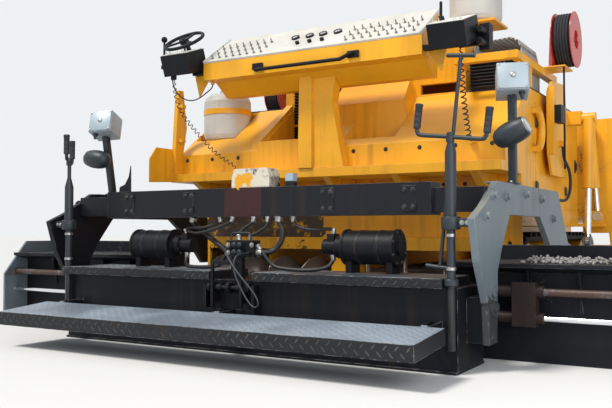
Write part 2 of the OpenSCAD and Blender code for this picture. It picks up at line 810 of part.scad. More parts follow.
// Folding wing with its floor, outer wall, rear wall and front wall
module wing(s) {
    y0 = hopper_y + 50;
    y1 = hopper_front - 50;
    color("#e0a020") on_side(s) difference() {
        union() {
            along(y0, y1) polygon([
                [hinge_x + 15, hinge_z - 15], [wing_x, hinge_z + 55], [wing_x, 1500],
                [wing_x + 60, 1620], [wing_x + 46, 1626], [wing_x - wing_t, 1506],
                [wing_x - wing_t, hinge_z + 70], [hinge_x + 15, hinge_z]]);
            along(y0, y0 + 20) polygon([
                [hinge_x + 15, hinge_z - 10], [wing_x - 5, hinge_z + 60], [wing_x + 50, 1620],
                [wing_x + 50, hopper_z], [hinge_x + 5, hopper_z], [hinge_x + 5, hinge_z + 60]]);
            along(y1 - 20, y1) polygon([
                [hinge_x + 15, hinge_z - 10], [wing_x - 5, hinge_z + 60], [wing_x - 5, 1250],
                [hinge_x + 40, hinge_z + 160]]);
            rod_y(wing_eye[0], lug_arm_y - 50, y0 + 5, wing_eye[1], 20);
            for (i = [0:rib_count - 1]) wing_rib(y0 + 40 + i * (y1 - y0 - 100) / (rib_count - 1));
            rod_y(hinge_x, y0 + 40, knuckles[1] - 5, hinge_z, tube_r);
            rod_y(hinge_x, knuckles[1] + knuckle_l + 5, y1 - 5, hinge_z, tube_r);
        }
        rod_y(hinge_x, y0 - 1, y1 + 10, hinge_z, hinge_r + run_gap);
        for (y = [knuckles[0], knuckles[1]]) {
            block(hinge_x - tube_r - 1, hinge_x + tube_r + 5, y - 5, y + knuckle_l + 5,
                deck_z, hinge_z + tube_r + 5);
        }
    }
}

module wing_rib(y) {
    along(y, y + 14) polygon([
        [wing_x, hinge_z + 120], [wing_x + 30, hinge_z + 150], [wing_x + 45, 1490], [wing_x, 1490]]);
}

// Cylinder barrel that hangs from the wing's pin
module wing_barrel(s) {
    color("#e0a020") on_side(s) ram_place() difference() {
        union() {
            rotate([90, 0, 0]) cylinder(h = 60, r = 42, center = true);
            translate([0, 0, -610]) cylinder(h = 584, r = 44);
        }
        rotate([90, 0, 0]) cylinder(h = 62, r = 20 + run_gap, center = true);
        translate([0, 0, -611]) cylinder(h = 520, r = 26 + run_gap);
    }
}

module wing_rod(s) {
    color("#c9ced6") on_side(s) ram_place() {
        translate([0, 0, -wing_ram_l + 30]) cylinder(h = wing_ram_l - 150, r = 26);
        translate([0, 0, -wing_ram_l]) rotate([90, 0, 0]) {
            cylinder(h = 50, r = 40, center = true);
            cylinder(h = 112, r = 15, center = true);
            for (y = [-54, 54]) translate([0, 0, y]) cylinder(h = 6, r = 44, center = true);
        }
    }
}

module ram_place() {
    translate([wing_eye[0], rear + lug_arm_y, wing_eye[1]]) rotate([0, wing_ram_a, 0]) children();
}

// Beam that swings on the frame's front pin and carries the two rollers
module push_beam() {
    color("#e0a020") {
        difference() {
            block(-push_x, push_x, pivot_y - 30, push_y - push_r - 10, push_z - beam_half,
                push_z + beam_half);
            rod_z(0, pivot_y, push_z - beam_half - 1, push_z + beam_half + 1, pivot_r + run_gap);
            block(-80, 80, pivot_y - 31, pivot_y + 45, push_z - 45, push_z + 45);
        }
        both_sides() for (x = [110, roller_end + 5]) difference() {
            block(x, x + 25, push_y - push_r - 10, push_y + 30, push_z - 50, push_z + 50);
            rod_x(x - 1, x + 26, push_y, push_z, 20 + run_gap);
        }
    }
}

module push_rollers() {
    color("#8f7a3c") {
        rod_x(-push_bar, push_bar, push_y, push_z, 20);
        both_sides() rod_x(140, roller_end, push_y, push_z, push_r);
    }
}

module lift_place() {
    translate([arm_x, rear + lift_top[0], lift_top[1]]) rotate([-lift_a, 0, 0]) children();
}

module lift_barrels() {
    color("#e0a020") both_sides() lift_place() difference() {
        union() {
            rotate([0, 90, 0]) cylinder(h = 120, r = 45, center = true);
            translate([0, 0, -barrel_l]) cylinder(h = barrel_l - 10, r = 50);
        }
        translate([0, 0, -barrel_l - 1]) cylinder(h = barrel_l - 60, r = 28 + run_gap);
    }
}

module lift_rod(s) {
    color("#c9ced6") on_side(s) lift_place() difference() {
        union() {
            translate([0, 0, -lift_l + 60]) cylinder(h = lift_l - barrel_l / 2 - 60, r = 28);
            translate([0, 0, -lift_l + 15]) cylinder(h = 46, r = 16);
            translate([0, 0, -lift_l]) rotate([0, 90, 0]) cylinder(h = 30, r = 42, center = true);
        }
        translate([0, 0, -lift_l]) rotate([0, 90, 0]) cylinder(h = 42, r = 24, center = true);
    }
}

// Main screed body with the brackets of its step
module screed_frame() {
    color("#2a2e33") {
        block(-screed_x, screed_x, screed_rear, screed_front, 15, shelf_z - shelf_t);
        for (x = [-1400, 0, 1400]) {
            for (dx = [-34, 22]) {
                across(x + dx, x + dx + 12) polygon([
                    [step_hinge[0] - 18, step_hinge[1] - 25], [screed_rear, step_hinge[1] - 80],
                    [screed_rear, step_hinge[1] + 25], [step_hinge[0] - 18, step_hinge[1] + 20]]);
            }
            rod_x(x - 34, x + 34, step_hinge[0], step_hinge[1], step_pin_r);
        }
        both_sides() block(screed_x, arch_x, 765, 895, 160, 420);
    }
}

module screed_plate() {
    color("#4b4d50") block(-screed_x, screed_x, screed_rear - 20, screed_front + 20, 0, 15);
}

module shelf() {
    color("#3a3e44") for (span = [[-1460, -150], [200, 1460]]) {
        block(span[0], span[1], 550, 1000, shelf_z - shelf_t, shelf_z);
    }
}

// Drums on feet, each with a stepped drive at its inner end
module screed_drums() {
    color("#23262c") both_sides() {
        rod_x(700, 1060, drum_y, drum_z, drum_r);
        for (x = [700, 1045]) rod_x(x, x + 15, drum_y, drum_z, drum_r + 8);
        rod_x(1060, 1075, drum_y, drum_z, 45);
        rod_x(640, 700, drum_y, drum_z, 72);
        rod_x(540, 640, drum_y, drum_z, 52);
        block(575, 625, drum_y - 40, drum_y + 40, drum_z + 30, drum_z + 85);
        for (x = [720, 1000]) block(x, x + 40, 820, 940, shelf_z, drum_z - 60);
    }
}

// Toothed wheel and turnbuckle in the gap between the shelves
module crown_adjuster() {
    color("#2f3237") {
        rod_x(-190, 190, 580, adjust_z, 15);
        for (x = [-165, 145]) rod_x(x, x + 20, 580, adjust_z, 34);
        for (x = [-100, 60]) rod_x(x, x + 40, 580, adjust_z, 24);
        across(-12, 12) translate([580, adjust_z]) {
            circle(32);
            for (i = [0:9]) rotate(36 * i) translate([28, -6]) square([11, 12]);
        }
        for (x = [-130, 100]) {
            block(x, x + 16, 545, 565, 300, 600);
            block(x, x + 16, 565, screed_rear, 330, 400);
        }
        block(-114, 100, 548, 562, 575, 600);
        for (x = [-200, 180]) block(x, x + 20, 560, screed_rear, 260, adjust_z + 20);
        for (x = [-190, 60]) block(x, x + 130, 565, screed_rear, 258, 290);
        block(-135, 90, 720, 800, 620, 730);
        block(-110, -20, 740, 780, shelf_z - shelf_t, 620);
        rod_y(loop_route[0][0], loop_route[0][1], 720, loop_route[0][2], 13);
        rod_y(loop_route[18][0], loop_route[18][1], 720, loop_route[18][2], 13);
    }
}

// Box beam between the arches, with a box at its middle
module cross_beam() {
    color("#2a2e38") {
        block(-beam_x, beam_x, 790, 940, beam_z, beam_z + beam_h);
        both_sides() block(beam_x, arch_x, 815, 915, beam_z + 15, beam_z + beam_h - 35);
        along(800, 930) polygon([
            [-150, beam_z + beam_h], [160, beam_z + beam_h], [160, beam_z + beam_h + 70],
            [140, beam_z + beam_h + 130], [-125, beam_z + beam_h + 130],
            [-150, beam_z + beam_h + 70]]);
        block(285, 345, 800, 850, beam_z + beam_h, beam_z + beam_h + 85);
        for (x = [-1120, -560, 560, 1120]) {
            block(x, x + 90, 782, 790, beam_z + 20, beam_z + beam_h - 20);
        }
    }
}

// Arch plate and tow arm
module arch(s, tone) {
    color(tone) on_side(s) {
        difference() {
            across(arch_x, arch_x + arch_t) polygon([
                [940, arch_z], [2420, arch_z], [2740, 700], [3100, 625], [tow_y, tow_z + 60],
                [tow_y + 60, tow_z + 60], [tow_y + 60, tow_z - 60], [2350, tow_z - 60], [2140, 714],
                [1890, beam_z], [1170, beam_z], [1010, 700], [920, 560], [900, 154], [760, 154],
                [740, 373], [590, 626], [513, 862], [676, 930]]);
            rod_x(arch_x - 1, arch_x + arch_t + 1, tow_y, tow_z, tow_r + run_gap);
        }
        for (x = [arch_x - 14, arch_x + arch_t]) {
            across(x, x + 14) polygon([
                [lift_eye[0] - 60, 545], [lift_eye[0] + 60, 545], [lift_eye[0] + 40, lift_eye[1] + 40],
                [lift_eye[0] - 40, lift_eye[1] + 40]]);
        }
        rod_x(arm_x - 45, arm_x + 45, lift_eye[0], lift_eye[1], 18);
        rod_x(arch_x + arch_t, arch_x + arch_t + 18, 812, 362, 48);
        rod_x(arch_x + arch_t + 18, arch_x + arch_t + 34, 812, 362, 26);
        for (bolt = arch_bolts) {
            rod_x(arch_x + arch_t, arch_x + arch_t + 8, bolt[0], bolt[1], 30);
            rod_x(arch_x + arch_t + 8, arch_x + arch_t + 26, bolt[0], bolt[1], 20);
        }
        across(arch_x - 40, arch_x) polygon([
            [960, arch_z - 12], [960, arch_z], [2400, arch_z], [2400, arch_z - 12]]);
    }
}

// Threaded posts with a two handed crank, the right one with a loose tee bar
module depth_cranks() {
    color("#2a2e38") {
        both_sides() {
            rod_z(crank_x, crank_y, 134, 880, 22);
            rod_z(crank_x, crank_y, 860, crank_z, crank_r);
            rod_z(crank_x, crank_y, 805, 875, 52);
            block(crank_x, arch_x, crank_y - 20, crank_y + 20, 815, 865);
            rod_x(crank_x - 205, crank_x + 205, crank_y, crank_z, 14);
            for (x = [-205, 205]) {
                rod_z(crank_x + x, crank_y, crank_z - 14, crank_z + 60, 12);
                rod_z(crank_x + x, crank_y, crank_z + 30, crank_z + 170, 21);
            }
        }
        translate([tee_foot[0], rear + crank_y + crank_r + 11 + seat_gap, tee_foot[1]])
            rotate([0, tee_lean, 0]) {
                cylinder(h = tee_l, r = 11);
                for (z = [0, tee_l]) translate([0, 0, z]) rotate([0, 90, 0])
                    cylinder(h = 165, r = 13, center = true);
            }
    }
}

// Square posts with a tilted control box and a rounded lamp head
module control_posts() {
    color("#2a2e38") both_sides() {
        block(arm_x - 25, arm_x + 25, post_y - 25, post_y + 25, arch_z, box_z);
        translate([arm_x, rear + post_y, box_z + 15]) rotate([-12, 0, 20])
            translate([-100, -95, -20]) cube([200, 190, 185]);
        translate([arm_x - 10, rear + post_y - 105, lamp_z]) rotate([0, -12, 0]) rotate([0, 90, 0])
            rotate_extrude() polygon([
                [0, -200], [45, -190], [78, -130], [88, -30], [84, 90], [62, 160], [0, 185]]);
        block(arm_x - 20, arm_x + 20, post_y - 60, post_y - 25, lamp_z - 30, lamp_z + 30);
    }
}

module extension_guides() {
    color("#4a3c34") both_sides() {
        for (tube = [[ram_z, ram_r, 100], [guide_z, guide_r, 300]]) {
            difference() {
                rod_x(tube[2], 1870, guide_y, tube[0], tube[1] + 15);
                rod_x(tube[2] + 15, 1871, guide_y, tube[0], tube[1] + run_gap);
            }
        }
        difference() {
            union() {
                block(1690, 1830, guide_y - 45, guide_y + 45, 230, 490);
                for (x = [400, 900, 1400]) block(x, x + 40, screed_front, guide_y + 20, 230, 480);
            }
            rod_x(399, 1871, guide_y, ram_z, ram_r + 15);
            rod_x(399, 1871, guide_y, guide_z, guide_r + 15);
        }
    }
}

// Tread step, a tray open below, hinged at its front edge
module step() {
    color("#5a6670") at(step_hinge[0], step_hinge[1]) rotate([step_rise, 0, 0]) {
        difference() {
            translate([-screed_x, -step_hinge[0], -step_t + 20]) cube([2 * screed_x, step_l, step_t]);
            translate([-screed_x + 10, -step_hinge[0] + 10, -step_t])
                cube([2 * screed_x - 20, step_l - 20, step_t + 10]);
        }
        for (x = [-1400, 0, 1400]) difference() {
            union() {
                translate([x - 18, -60, -20]) cube([36, 60, 30]);
                translate([x - 18, 0, 0]) rotate([0, 90, 0]) cylinder(h = 36, r = 22);
            }
            translate([x - 19, 0, 0]) rotate([0, 90, 0]) cylinder(h = 38, r = step_pin_r + run_gap);
        }
    }
}

// Box with a deck that reaches back over the rods, and an upstand in front
module extension(s) {
    x0 = ext_reach - ext_l;
    color("#2b2e33") on_side(s) {
        across(x0, ext_reach) polygon([
            [ext_rear, 0], [ext_rear, ext_z - 60], [screed_front + 40, ext_z - 25],
            [screed_front + 40, ext_z], [ext_front - 20, ext_z], [ext_front - 20, ext_z + 100],
            [ext_front + 10, ext_z + 100], [ext_front + 10, 60], [ext_front - 40, 0]]);
        for (x = [x0 + 200:300:ext_reach - 200]) {
            across(x, x + 14) polygon([
                [ext_rear, ext_z - 60], [ext_rear, 300], [ext_rear - 60, ext_z - 70],
                [ext_rear - 60, ext_z - 34]]);
        }
    }
}

module end_gate(s) {
    color("#6f7c85") on_side(s) {
        across(ext_reach, ext_reach + gate_t) polygon([
            [1010, 60], [1090, 0], [1760, 0], [1800, 60], [1800, 560], [1720, 700], [1240, 700],
            [1010, 420]]);
        rod_x(1000, ext_reach, guide_y, ram_z, ram_r);
        rod_x(1200, ext_reach, guide_y, guide_z, guide_r);
    }
}

// Direction and side vector of a route at one of its points
function unit(v) = v / norm(v);
function heading(p, i) = unit(p[min(i + 1, len(p) - 1)] - p[max(i - 1, 0)]);
function side_of(p, i) = i == 0
    ? unit(cross(heading(p, 0), [0.8, 0.5, 0.3]))
    : let (t = heading(p, i), s = side_of(p, i - 1)) unit(s - t * (t * s));

// Tube along a route, with a ring of points at each of its points
module cord(route, r, sides = 10) {
    last = (len(route) - 1) * sides;
    points = [for (i = [0:len(route) - 1])
        let (t = heading(route, i), s = side_of(route, i), u = cross(t, s))
        for (a = [0:360 / sides:359]) route[i] + r * (cos(a) * s + sin(a) * u)];
    walls = [for (i = [0:sides:last - 1], a = [0:sides - 1])
        let (b = (a + 1) % sides)
        each [[i + a, i + sides + a, i + sides + b], [i + a, i + sides + b, i + b]]];
    caps = [[for (a = [0:sides - 1]) a], [for (a = [sides - 1:-1:0]) last + a]];
    translate([0, rear, 0]) polyhedron(points, concat(walls, caps));
}

module station_cable() {
    color("#1c1c1e") cord(cable_route, 7);
}

module curly_left() {
    color("#1c1c1e") cord(curly_left_route, 17);
}

module curly_right() {
    color("#1c1c1e") cord(curly_right_route, 21);
}

module side_hose() {
    color("#1c1c1e") cord(hose_route, 13);
}

module shelf_loop() {
    color("#3a3d42") cord(loop_route, 8);
}

chassis();
running_gear();
track(left);  // track_left
track(right);  // track_right
conveyors();
auger_frame();
auger(left);  // auger_left
auger(right);  // auger_right
rear_body();
louvres();
side_pods();
walkway();
engine();
hood();
console();
switch_panel();
console_fittings();
switches();
operator_stations();
steering_wheel();
water_tanks();
muffler_guard();
hatch();
reel_stands();
reel(reel_at[0]);  // reel_left
reel(reel_at[1]);  // reel_right
side_frames();
hopper_wall();
wing(left);  // wing_left
wing(right);  // wing_right
wing_barrel(left);  // wing_barrel_left
wing_barrel(right);  // wing_barrel_right
wing_rod(left);  // wing_rod_left
wing_rod(right);  // wing_rod_right
push_beam();
push_rollers();
lift_barrels();
lift_rod(left);  // lift_rod_left
lift_rod(right);  // lift_rod_right
screed_frame();
screed_plate();
shelf();
screed_drums();
crown_adjuster();
cross_beam();
arch(left, "#23262c");  // arch_left
arch(right, "#6f7c85");  // arch_right
depth_cranks();
control_posts();
extension_guides();
step();
extension(left);  // extension_left
extension(right);  // extension_right
end_gate(left);  // end_gate_left
end_gate(right);  // end_gate_right
station_cable();
curly_left();
curly_right();
side_hose();
shelf_loop();
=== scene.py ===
"""Dresses the asphalt paver: finishes for every part, its cords and its small trim."""

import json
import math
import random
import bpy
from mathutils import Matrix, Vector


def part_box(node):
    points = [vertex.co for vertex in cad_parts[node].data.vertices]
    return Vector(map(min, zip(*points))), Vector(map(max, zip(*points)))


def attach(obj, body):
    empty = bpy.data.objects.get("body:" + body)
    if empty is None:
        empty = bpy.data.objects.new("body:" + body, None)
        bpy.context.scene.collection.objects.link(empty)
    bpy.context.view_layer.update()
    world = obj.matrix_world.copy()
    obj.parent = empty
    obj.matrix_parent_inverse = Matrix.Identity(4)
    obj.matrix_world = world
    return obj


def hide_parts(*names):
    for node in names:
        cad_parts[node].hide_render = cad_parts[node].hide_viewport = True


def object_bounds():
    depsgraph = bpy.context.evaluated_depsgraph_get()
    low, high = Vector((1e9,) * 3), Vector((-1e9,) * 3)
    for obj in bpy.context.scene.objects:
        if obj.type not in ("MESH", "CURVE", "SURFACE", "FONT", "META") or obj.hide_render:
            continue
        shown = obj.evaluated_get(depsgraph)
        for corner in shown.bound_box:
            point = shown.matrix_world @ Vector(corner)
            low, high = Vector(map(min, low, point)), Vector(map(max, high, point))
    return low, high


bl_info = {
    "name": "Asphalt Paver Dressing",
    "version": (1, 0, 0),
    "blender": (4, 5, 0),
    "location": "View3D > Sidebar > Paver",
    "description": "Finishes, cords, fittings and a plain stage for a tracked asphalt paver",
    "category": "Object",
}

from collections import namedtuple

import bmesh
import bpy
from bpy.props import FloatProperty, FloatVectorProperty, IntProperty, PointerProperty
from mathutils import Matrix, Vector

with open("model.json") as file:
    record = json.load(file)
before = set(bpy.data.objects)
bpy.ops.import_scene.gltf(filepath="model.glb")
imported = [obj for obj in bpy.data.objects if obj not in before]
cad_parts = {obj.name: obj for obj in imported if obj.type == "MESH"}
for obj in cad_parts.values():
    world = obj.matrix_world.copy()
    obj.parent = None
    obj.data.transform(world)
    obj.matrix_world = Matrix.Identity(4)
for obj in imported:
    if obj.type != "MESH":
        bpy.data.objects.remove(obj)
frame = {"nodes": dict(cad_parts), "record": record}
NODES = frame["nodes"]
CAD_LOW, CAD_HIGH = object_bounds()

# The part's lengths are counted from the rear edge of the step
REAR = CAD_LOW.y


def spot(x, y, z):
    """A point at y metres ahead of the step's rear edge."""
    return Vector((x, REAR + y, z))


# Sizes and colours that a user may change


class PaverColours(bpy.types.PropertyGroup):
    yellow: FloatVectorProperty(
        name="Yellow paint",
        description="Colour of the body, hopper and console",
        default=(0.90, 0.42, 0.012),
        min=0,
        max=1,
        subtype="COLOR",
    )
    black: FloatVectorProperty(
        name="Blue black paint",
        description="Colour of the screed and its brackets",
        default=(0.007, 0.0085, 0.013),
        min=0,
        max=1,
        subtype="COLOR",
    )
    grey: FloatVectorProperty(
        name="Blue grey paint",
        description="Colour of the right arch and the end gates",
        default=(0.15, 0.19, 0.22),
        min=0,
        max=1,
        subtype="COLOR",
    )
    white: FloatVectorProperty(
        name="Panel white",
        description="Colour of the switch panel",
        default=(0.72, 0.70, 0.64),
        min=0,
        max=1,
        subtype="COLOR",
    )
    red: FloatVectorProperty(
        name="Reel red",
        description="Colour of the hose reels",
        default=(0.52, 0.035, 0.02),
        min=0,
        max=1,
        subtype="COLOR",
    )
    dust: FloatVectorProperty(
        name="Road dust",
        description="Colour of the dust and dried mix on the paint",
        default=(0.30, 0.25, 0.19),
        min=0,
        max=1,
        subtype="COLOR",
    )


class PaverSizes(bpy.types.PropertyGroup):
    cord_sides: IntProperty(
        name="Cord roundness",
        description="Steps round each quarter of a cord",
        default=3,
        min=1,
        max=8,
    )
    stones: IntProperty(
        name="Stones",
        description="Loose stones on the right extension's deck",
        default=640,
        min=0,
        max=900,
    )
    bolt: FloatProperty(
        name="Bolt size",
        description="Radius of the hexagon heads on the bodywork",
        default=0.011,
        min=0.005,
        max=0.02,
        unit="LENGTH",
    )


# Shader helpers


def put(tree, kind, feed=None, **settings):
    """Adds a node, sets its options and feeds its sockets with values or links."""
    made = tree.nodes.new(kind)
    for option, value in settings.items():
        setattr(made, option, value)
    for socket, value in (feed or {}).items():
        if isinstance(value, bpy.types.NodeSocket):
            tree.links.new(value, made.inputs[socket])
        else:
            made.inputs[socket].default_value = value
    return made


def calc(tree, operation, a, b=0.0, c=0.0):
    return put(tree, "ShaderNodeMath", {0: a, 1: b, 2: c}, operation=operation).outputs[0]


def times(tree, *values):
    """The product of several values."""
    product = values[0]
    for value in values[1:]:
        product = calc(tree, "MULTIPLY", product, value)
    return product


def vector_calc(tree, operation, a, b=(0, 0, 0)):
    return put(tree, "ShaderNodeVectorMath", {0: a, 1: b}, operation=operation).outputs


def remap(tree, value, low, high, to_low=0.0, to_high=1.0):
    feed = {"Value": value, "From Min": low, "From Max": high, "To Min": to_low, "To Max": to_high}
    return put(tree, "ShaderNodeMapRange", feed, clamp=True).outputs["Result"]


def mix(tree, factor, a, b, blend="MIX"):
    feed = {0: factor, 6: a, 7: b}
    node = put(tree, "ShaderNodeMix", feed, data_type="RGBA", blend_type=blend)
    return node.outputs[2]


def noise(tree, coords, scale, detail=4.0, roughness=0.55):
    feed = {"Vector": coords, "Scale": scale, "Detail": detail, "Roughness": roughness}
    return put(tree, "ShaderNodeTexNoise", feed).outputs["Fac"]


def stretch(tree, coords, scale, rotation=(0, 0, 0)):
    feed = {"Vector": coords, "Scale": scale, "Rotation": rotation}
    return put(tree, "ShaderNodeMapping", feed).outputs["Vector"]


def new_group(name, inputs, outputs):
    """Starts a shader node group from its (name, kind, value) inputs and (name, kind) outputs."""
    tree = bpy.data.node_groups.new(name, "ShaderNodeTree")
    for label, kind, value in inputs:
        socket = tree.interface.new_socket(label, in_out="INPUT", socket_type="NodeSocket" + kind)
        socket.default_value = value
    for label, kind in outputs:
        tree.interface.new_socket(label, in_out="OUTPUT", socket_type="NodeSocket" + kind)
    start = tree.nodes.new("NodeGroupInput")
    end = tree.nodes.new("NodeGroupOutput")
    return tree, start.outputs, end.inputs


def use(tree, name, feed=None):
    """Places a node group and returns its outputs."""
    return put(tree, "ShaderNodeGroup", feed, node_tree=bpy.data.node_groups[name]).outputs


def object_coords(tree):
    return put(tree, "ShaderNodeTexCoord").outputs["Object"]


def surface_normal(tree):
    return put(tree, "ShaderNodeNewGeometry").outputs["Normal"]


def axes(tree, vector):
    """The X, Y and Z outputs of a vector."""
    return put(tree, "ShaderNodeSeparateXYZ", {0: vector}).outputs


def facing_up(tree):
    return axes(tree, surface_normal(tree))["Z"]


# Effects that several finishes share


def build_edge_wear():
    """Rounded edges, and a mask of the paint rubbed off them."""
    tree, given, out = new_group(
        "Edge wear",
        [("Radius", "Float", 0.006), ("Breakup", "Float", 16.0)],
        [("Mask", "Float"), ("Normal", "Vector")],
    )
    bevel = put(tree, "ShaderNodeBevel", {"Radius": given["Radius"]}, samples=4).outputs[0]
    same = vector_calc(tree, "DOT_PRODUCT", bevel, surface_normal(tree))["Value"]
    edge = remap(tree, same, 0.985, 0.90)
    broken = remap(tree, noise(tree, object_coords(tree), given["Breakup"]), 0.44, 0.60)
    tree.links.new(times(tree, edge, broken), out["Mask"])
    tree.links.new(bevel, out["Normal"])


def build_dust():
    """Dust that gathers in patches and on what faces up."""
    tree, given, out = new_group(
        "Road dust",
        [("Amount", "Float", 0.5), ("Scale", "Float", 1.6)],
        [("Mask", "Float"), ("Fine", "Float")],
    )
    coords = object_coords(tree)
    broad = noise(tree, coords, given["Scale"], 6.0, 0.62)
    fine = noise(tree, coords, times(tree, given["Scale"], 22.0), 3.0, 0.6)
    up = remap(tree, facing_up(tree), 0.1, 1.0, 0.0, 0.22)
    heap = calc(tree, "MULTIPLY_ADD", fine, 0.3, calc(tree, "MULTIPLY_ADD", broad, 0.7, up))
    low = calc(tree, "MULTIPLY_ADD", given["Amount"], -0.5, 0.85)
    tree.links.new(remap(tree, heap, low, calc(tree, "ADD", low, 0.3)), out["Mask"])
    tree.links.new(fine, out["Fine"])


def build_streaks():
    """Runs of oil and water down the sides."""
    tree, given, out = new_group("Streaks", [("Amount", "Float", 0.4)], [("Mask", "Float")])
    coords = stretch(tree, object_coords(tree), (13, 13, 0.8))
    runs = remap(tree, noise(tree, coords, 1.0, 4.0, 0.6), 0.50, 0.72)
    patch = remap(tree, noise(tree, object_coords(tree), 1.1, 3.0), 0.42, 0.62)
    side = remap(tree, calc(tree, "ABSOLUTE", facing_up(tree)), 0.75, 0.3)
    tree.links.new(times(tree, runs, patch, side, given["Amount"]), out["Mask"])


def build_tread():
    """Height of a tread plate's crossed bars, on its top and its bent down edges."""
    tree, given, out = new_group("Tread plate", [("Pitch", "Float", 0.045)], [("Height", "Float")])
    part = axes(tree, object_coords(tree))
    rolled = calc(tree, "ADD", part["Y"], part["Z"])
    flat = put(tree, "ShaderNodeCombineXYZ", {0: part["X"], 1: rolled, 2: 0.0}).outputs[0]
    turned = stretch(tree, flat, (1, 1, 1), (0, 0, math.radians(45)))
    pitch = given["Pitch"]
    size = put(tree, "ShaderNodeCombineXYZ", {0: pitch, 1: pitch, 2: 1.0}).outputs[0]
    cell = vector_calc(tree, "DIVIDE", turned, size)[0]
    index = vector_calc(tree, "FLOOR", cell)[0]
    at = axes(tree, index)
    place = axes(tree, vector_calc(tree, "SUBTRACT", cell, index)[0])
    odd = calc(tree, "PINGPONG", calc(tree, "ADD", at["X"], at["Y"]), 1.0)
    x = calc(tree, "SUBTRACT", place["X"], 0.5)
    y = calc(tree, "SUBTRACT", place["Y"], 0.5)
    bars = []
    for long_way, short_way in ((x, y), (y, x)):
        far = calc(tree, "POWER", calc(tree, "DIVIDE", long_way, 0.44), 2.0)
        near = calc(tree, "POWER", calc(tree, "DIVIDE", short_way, 0.13), 2.0)
        bars.append(remap(tree, calc(tree, "ADD", far, near), 1.0, 0.45))
    second = times(tree, bars[1], calc(tree, "SUBTRACT", 1.0, odd))
    tree.links.new(calc(tree, "MULTIPLY_ADD", bars[0], odd, second), out["Height"])


def build_crumbs():
    """Crumbs of asphalt mix stuck to a surface."""
    tree, given, out = new_group(
        "Mix crumbs",
        [("Amount", "Float", 0.5), ("Size", "Float", 0.012), ("Settle", "Float", 0.16)],
        [("Mask", "Float"), ("Height", "Float"), ("Tint", "Float")],
    )
    coords = object_coords(tree)
    scale = calc(tree, "DIVIDE", 1.0, given["Size"])
    stones = put(tree, "ShaderNodeTexVoronoi", {"Vector": coords, "Scale": scale}, feature="F1")
    lump = remap(tree, stones.outputs["Distance"], 0.62, 0.1)
    tint = put(tree, "ShaderNodeSeparateColor", {0: stones.outputs["Color"]}).outputs[0]
    patch = noise(tree, coords, 2.3, 6.0, 0.65)
    up = remap(tree, facing_up(tree), -0.2, 0.9, 0.0, given["Settle"])
    low = calc(tree, "MULTIPLY_ADD", given["Amount"], -0.5, 0.78)
    high = calc(tree, "ADD", low, 0.10)
    cover = remap(tree, calc(tree, "ADD", patch, up), low, high)
    tree.links.new(times(tree, cover, remap(tree, lump, 0.1, 0.4)), out["Mask"])
    tree.links.new(times(tree, cover, lump), out["Height"])
    tree.links.new(tint, out["Tint"])


def build_coat():
    """Paint or metal with patches, dust, runs and rubbed edges."""
    tree, given, out = new_group(
        "Weathered coat",
        [
            ("Colour", "Color", (0.8, 0.8, 0.8, 1)),
            ("Dust colour", "Color", (0.3, 0.25, 0.2, 1)),
            ("Bare colour", "Color", (0.1, 0.08, 0.07, 1)),
            ("Run colour", "Color", (0.06, 0.04, 0.03, 1)),
            ("Dust", "Float", 0.4),
            ("Wear", "Float", 0.5),
            ("Runs", "Float", 0.4),
            ("Roughness", "Float", 0.4),
            ("Edge", "Float", 0.006),
            ("Grain", "Float", 140.0),
        ],
        [
            ("Colour", "Color"),
            ("Roughness", "Float"),
            ("Height", "Float"),
            ("Normal", "Vector"),
        ],
    )
    coords = object_coords(tree)
    cloud = remap(tree, noise(tree, coords, 2.6, 5.0), 0.3, 0.7)
    shade = mix(tree, cloud, (0.80, 0.80, 0.80, 1), (1, 1, 1, 1))
    fade = mix(tree, 1.0, given["Colour"], shade, "MULTIPLY")
    dust = use(tree, "Road dust", {"Amount": given["Dust"]})
    dusty = mix(tree, times(tree, dust["Mask"], 0.75), fade, given["Dust colour"])
    runs = use(tree, "Streaks", {"Amount": given["Runs"]})["Mask"]
    stained = mix(tree, runs, dusty, given["Run colour"])
    edge = use(tree, "Edge wear", {"Radius": given["Edge"]})
    bare = times(tree, edge["Mask"], given["Wear"])
    tree.links.new(mix(tree, bare, stained, given["Bare colour"]), out["Colour"])
    grain = noise(tree, coords, given["Grain"], 2.0, 0.5)
    uneven = calc(tree, "MULTIPLY_ADD", grain, 0.12, given["Roughness"])
    tree.links.new(calc(tree, "MULTIPLY_ADD", dust["Mask"], 0.3, uneven), out["Roughness"])
    lumps = times(tree, dust["Fine"], dust["Mask"])
    tree.links.new(calc(tree, "MULTIPLY_ADD", grain, 0.25, lumps), out["Height"])
    tree.links.new(edge["Normal"], out["Normal"])


# Finishes

# A finish being made, with the normal that later bumps start from
Finish = namedtuple("Finish", "material tree shader normal")


def new_material(name):
    material = bpy.data.materials.new(name)
    material.use_nodes = True
    tree = material.node_tree
    tree.nodes.clear()
    shader = tree.nodes.new("ShaderNodeBsdfPrincipled")
    output = tree.nodes.new("ShaderNodeOutputMaterial")
    tree.links.new(shader.outputs[0], output.inputs["Surface"])
    return material, tree, shader


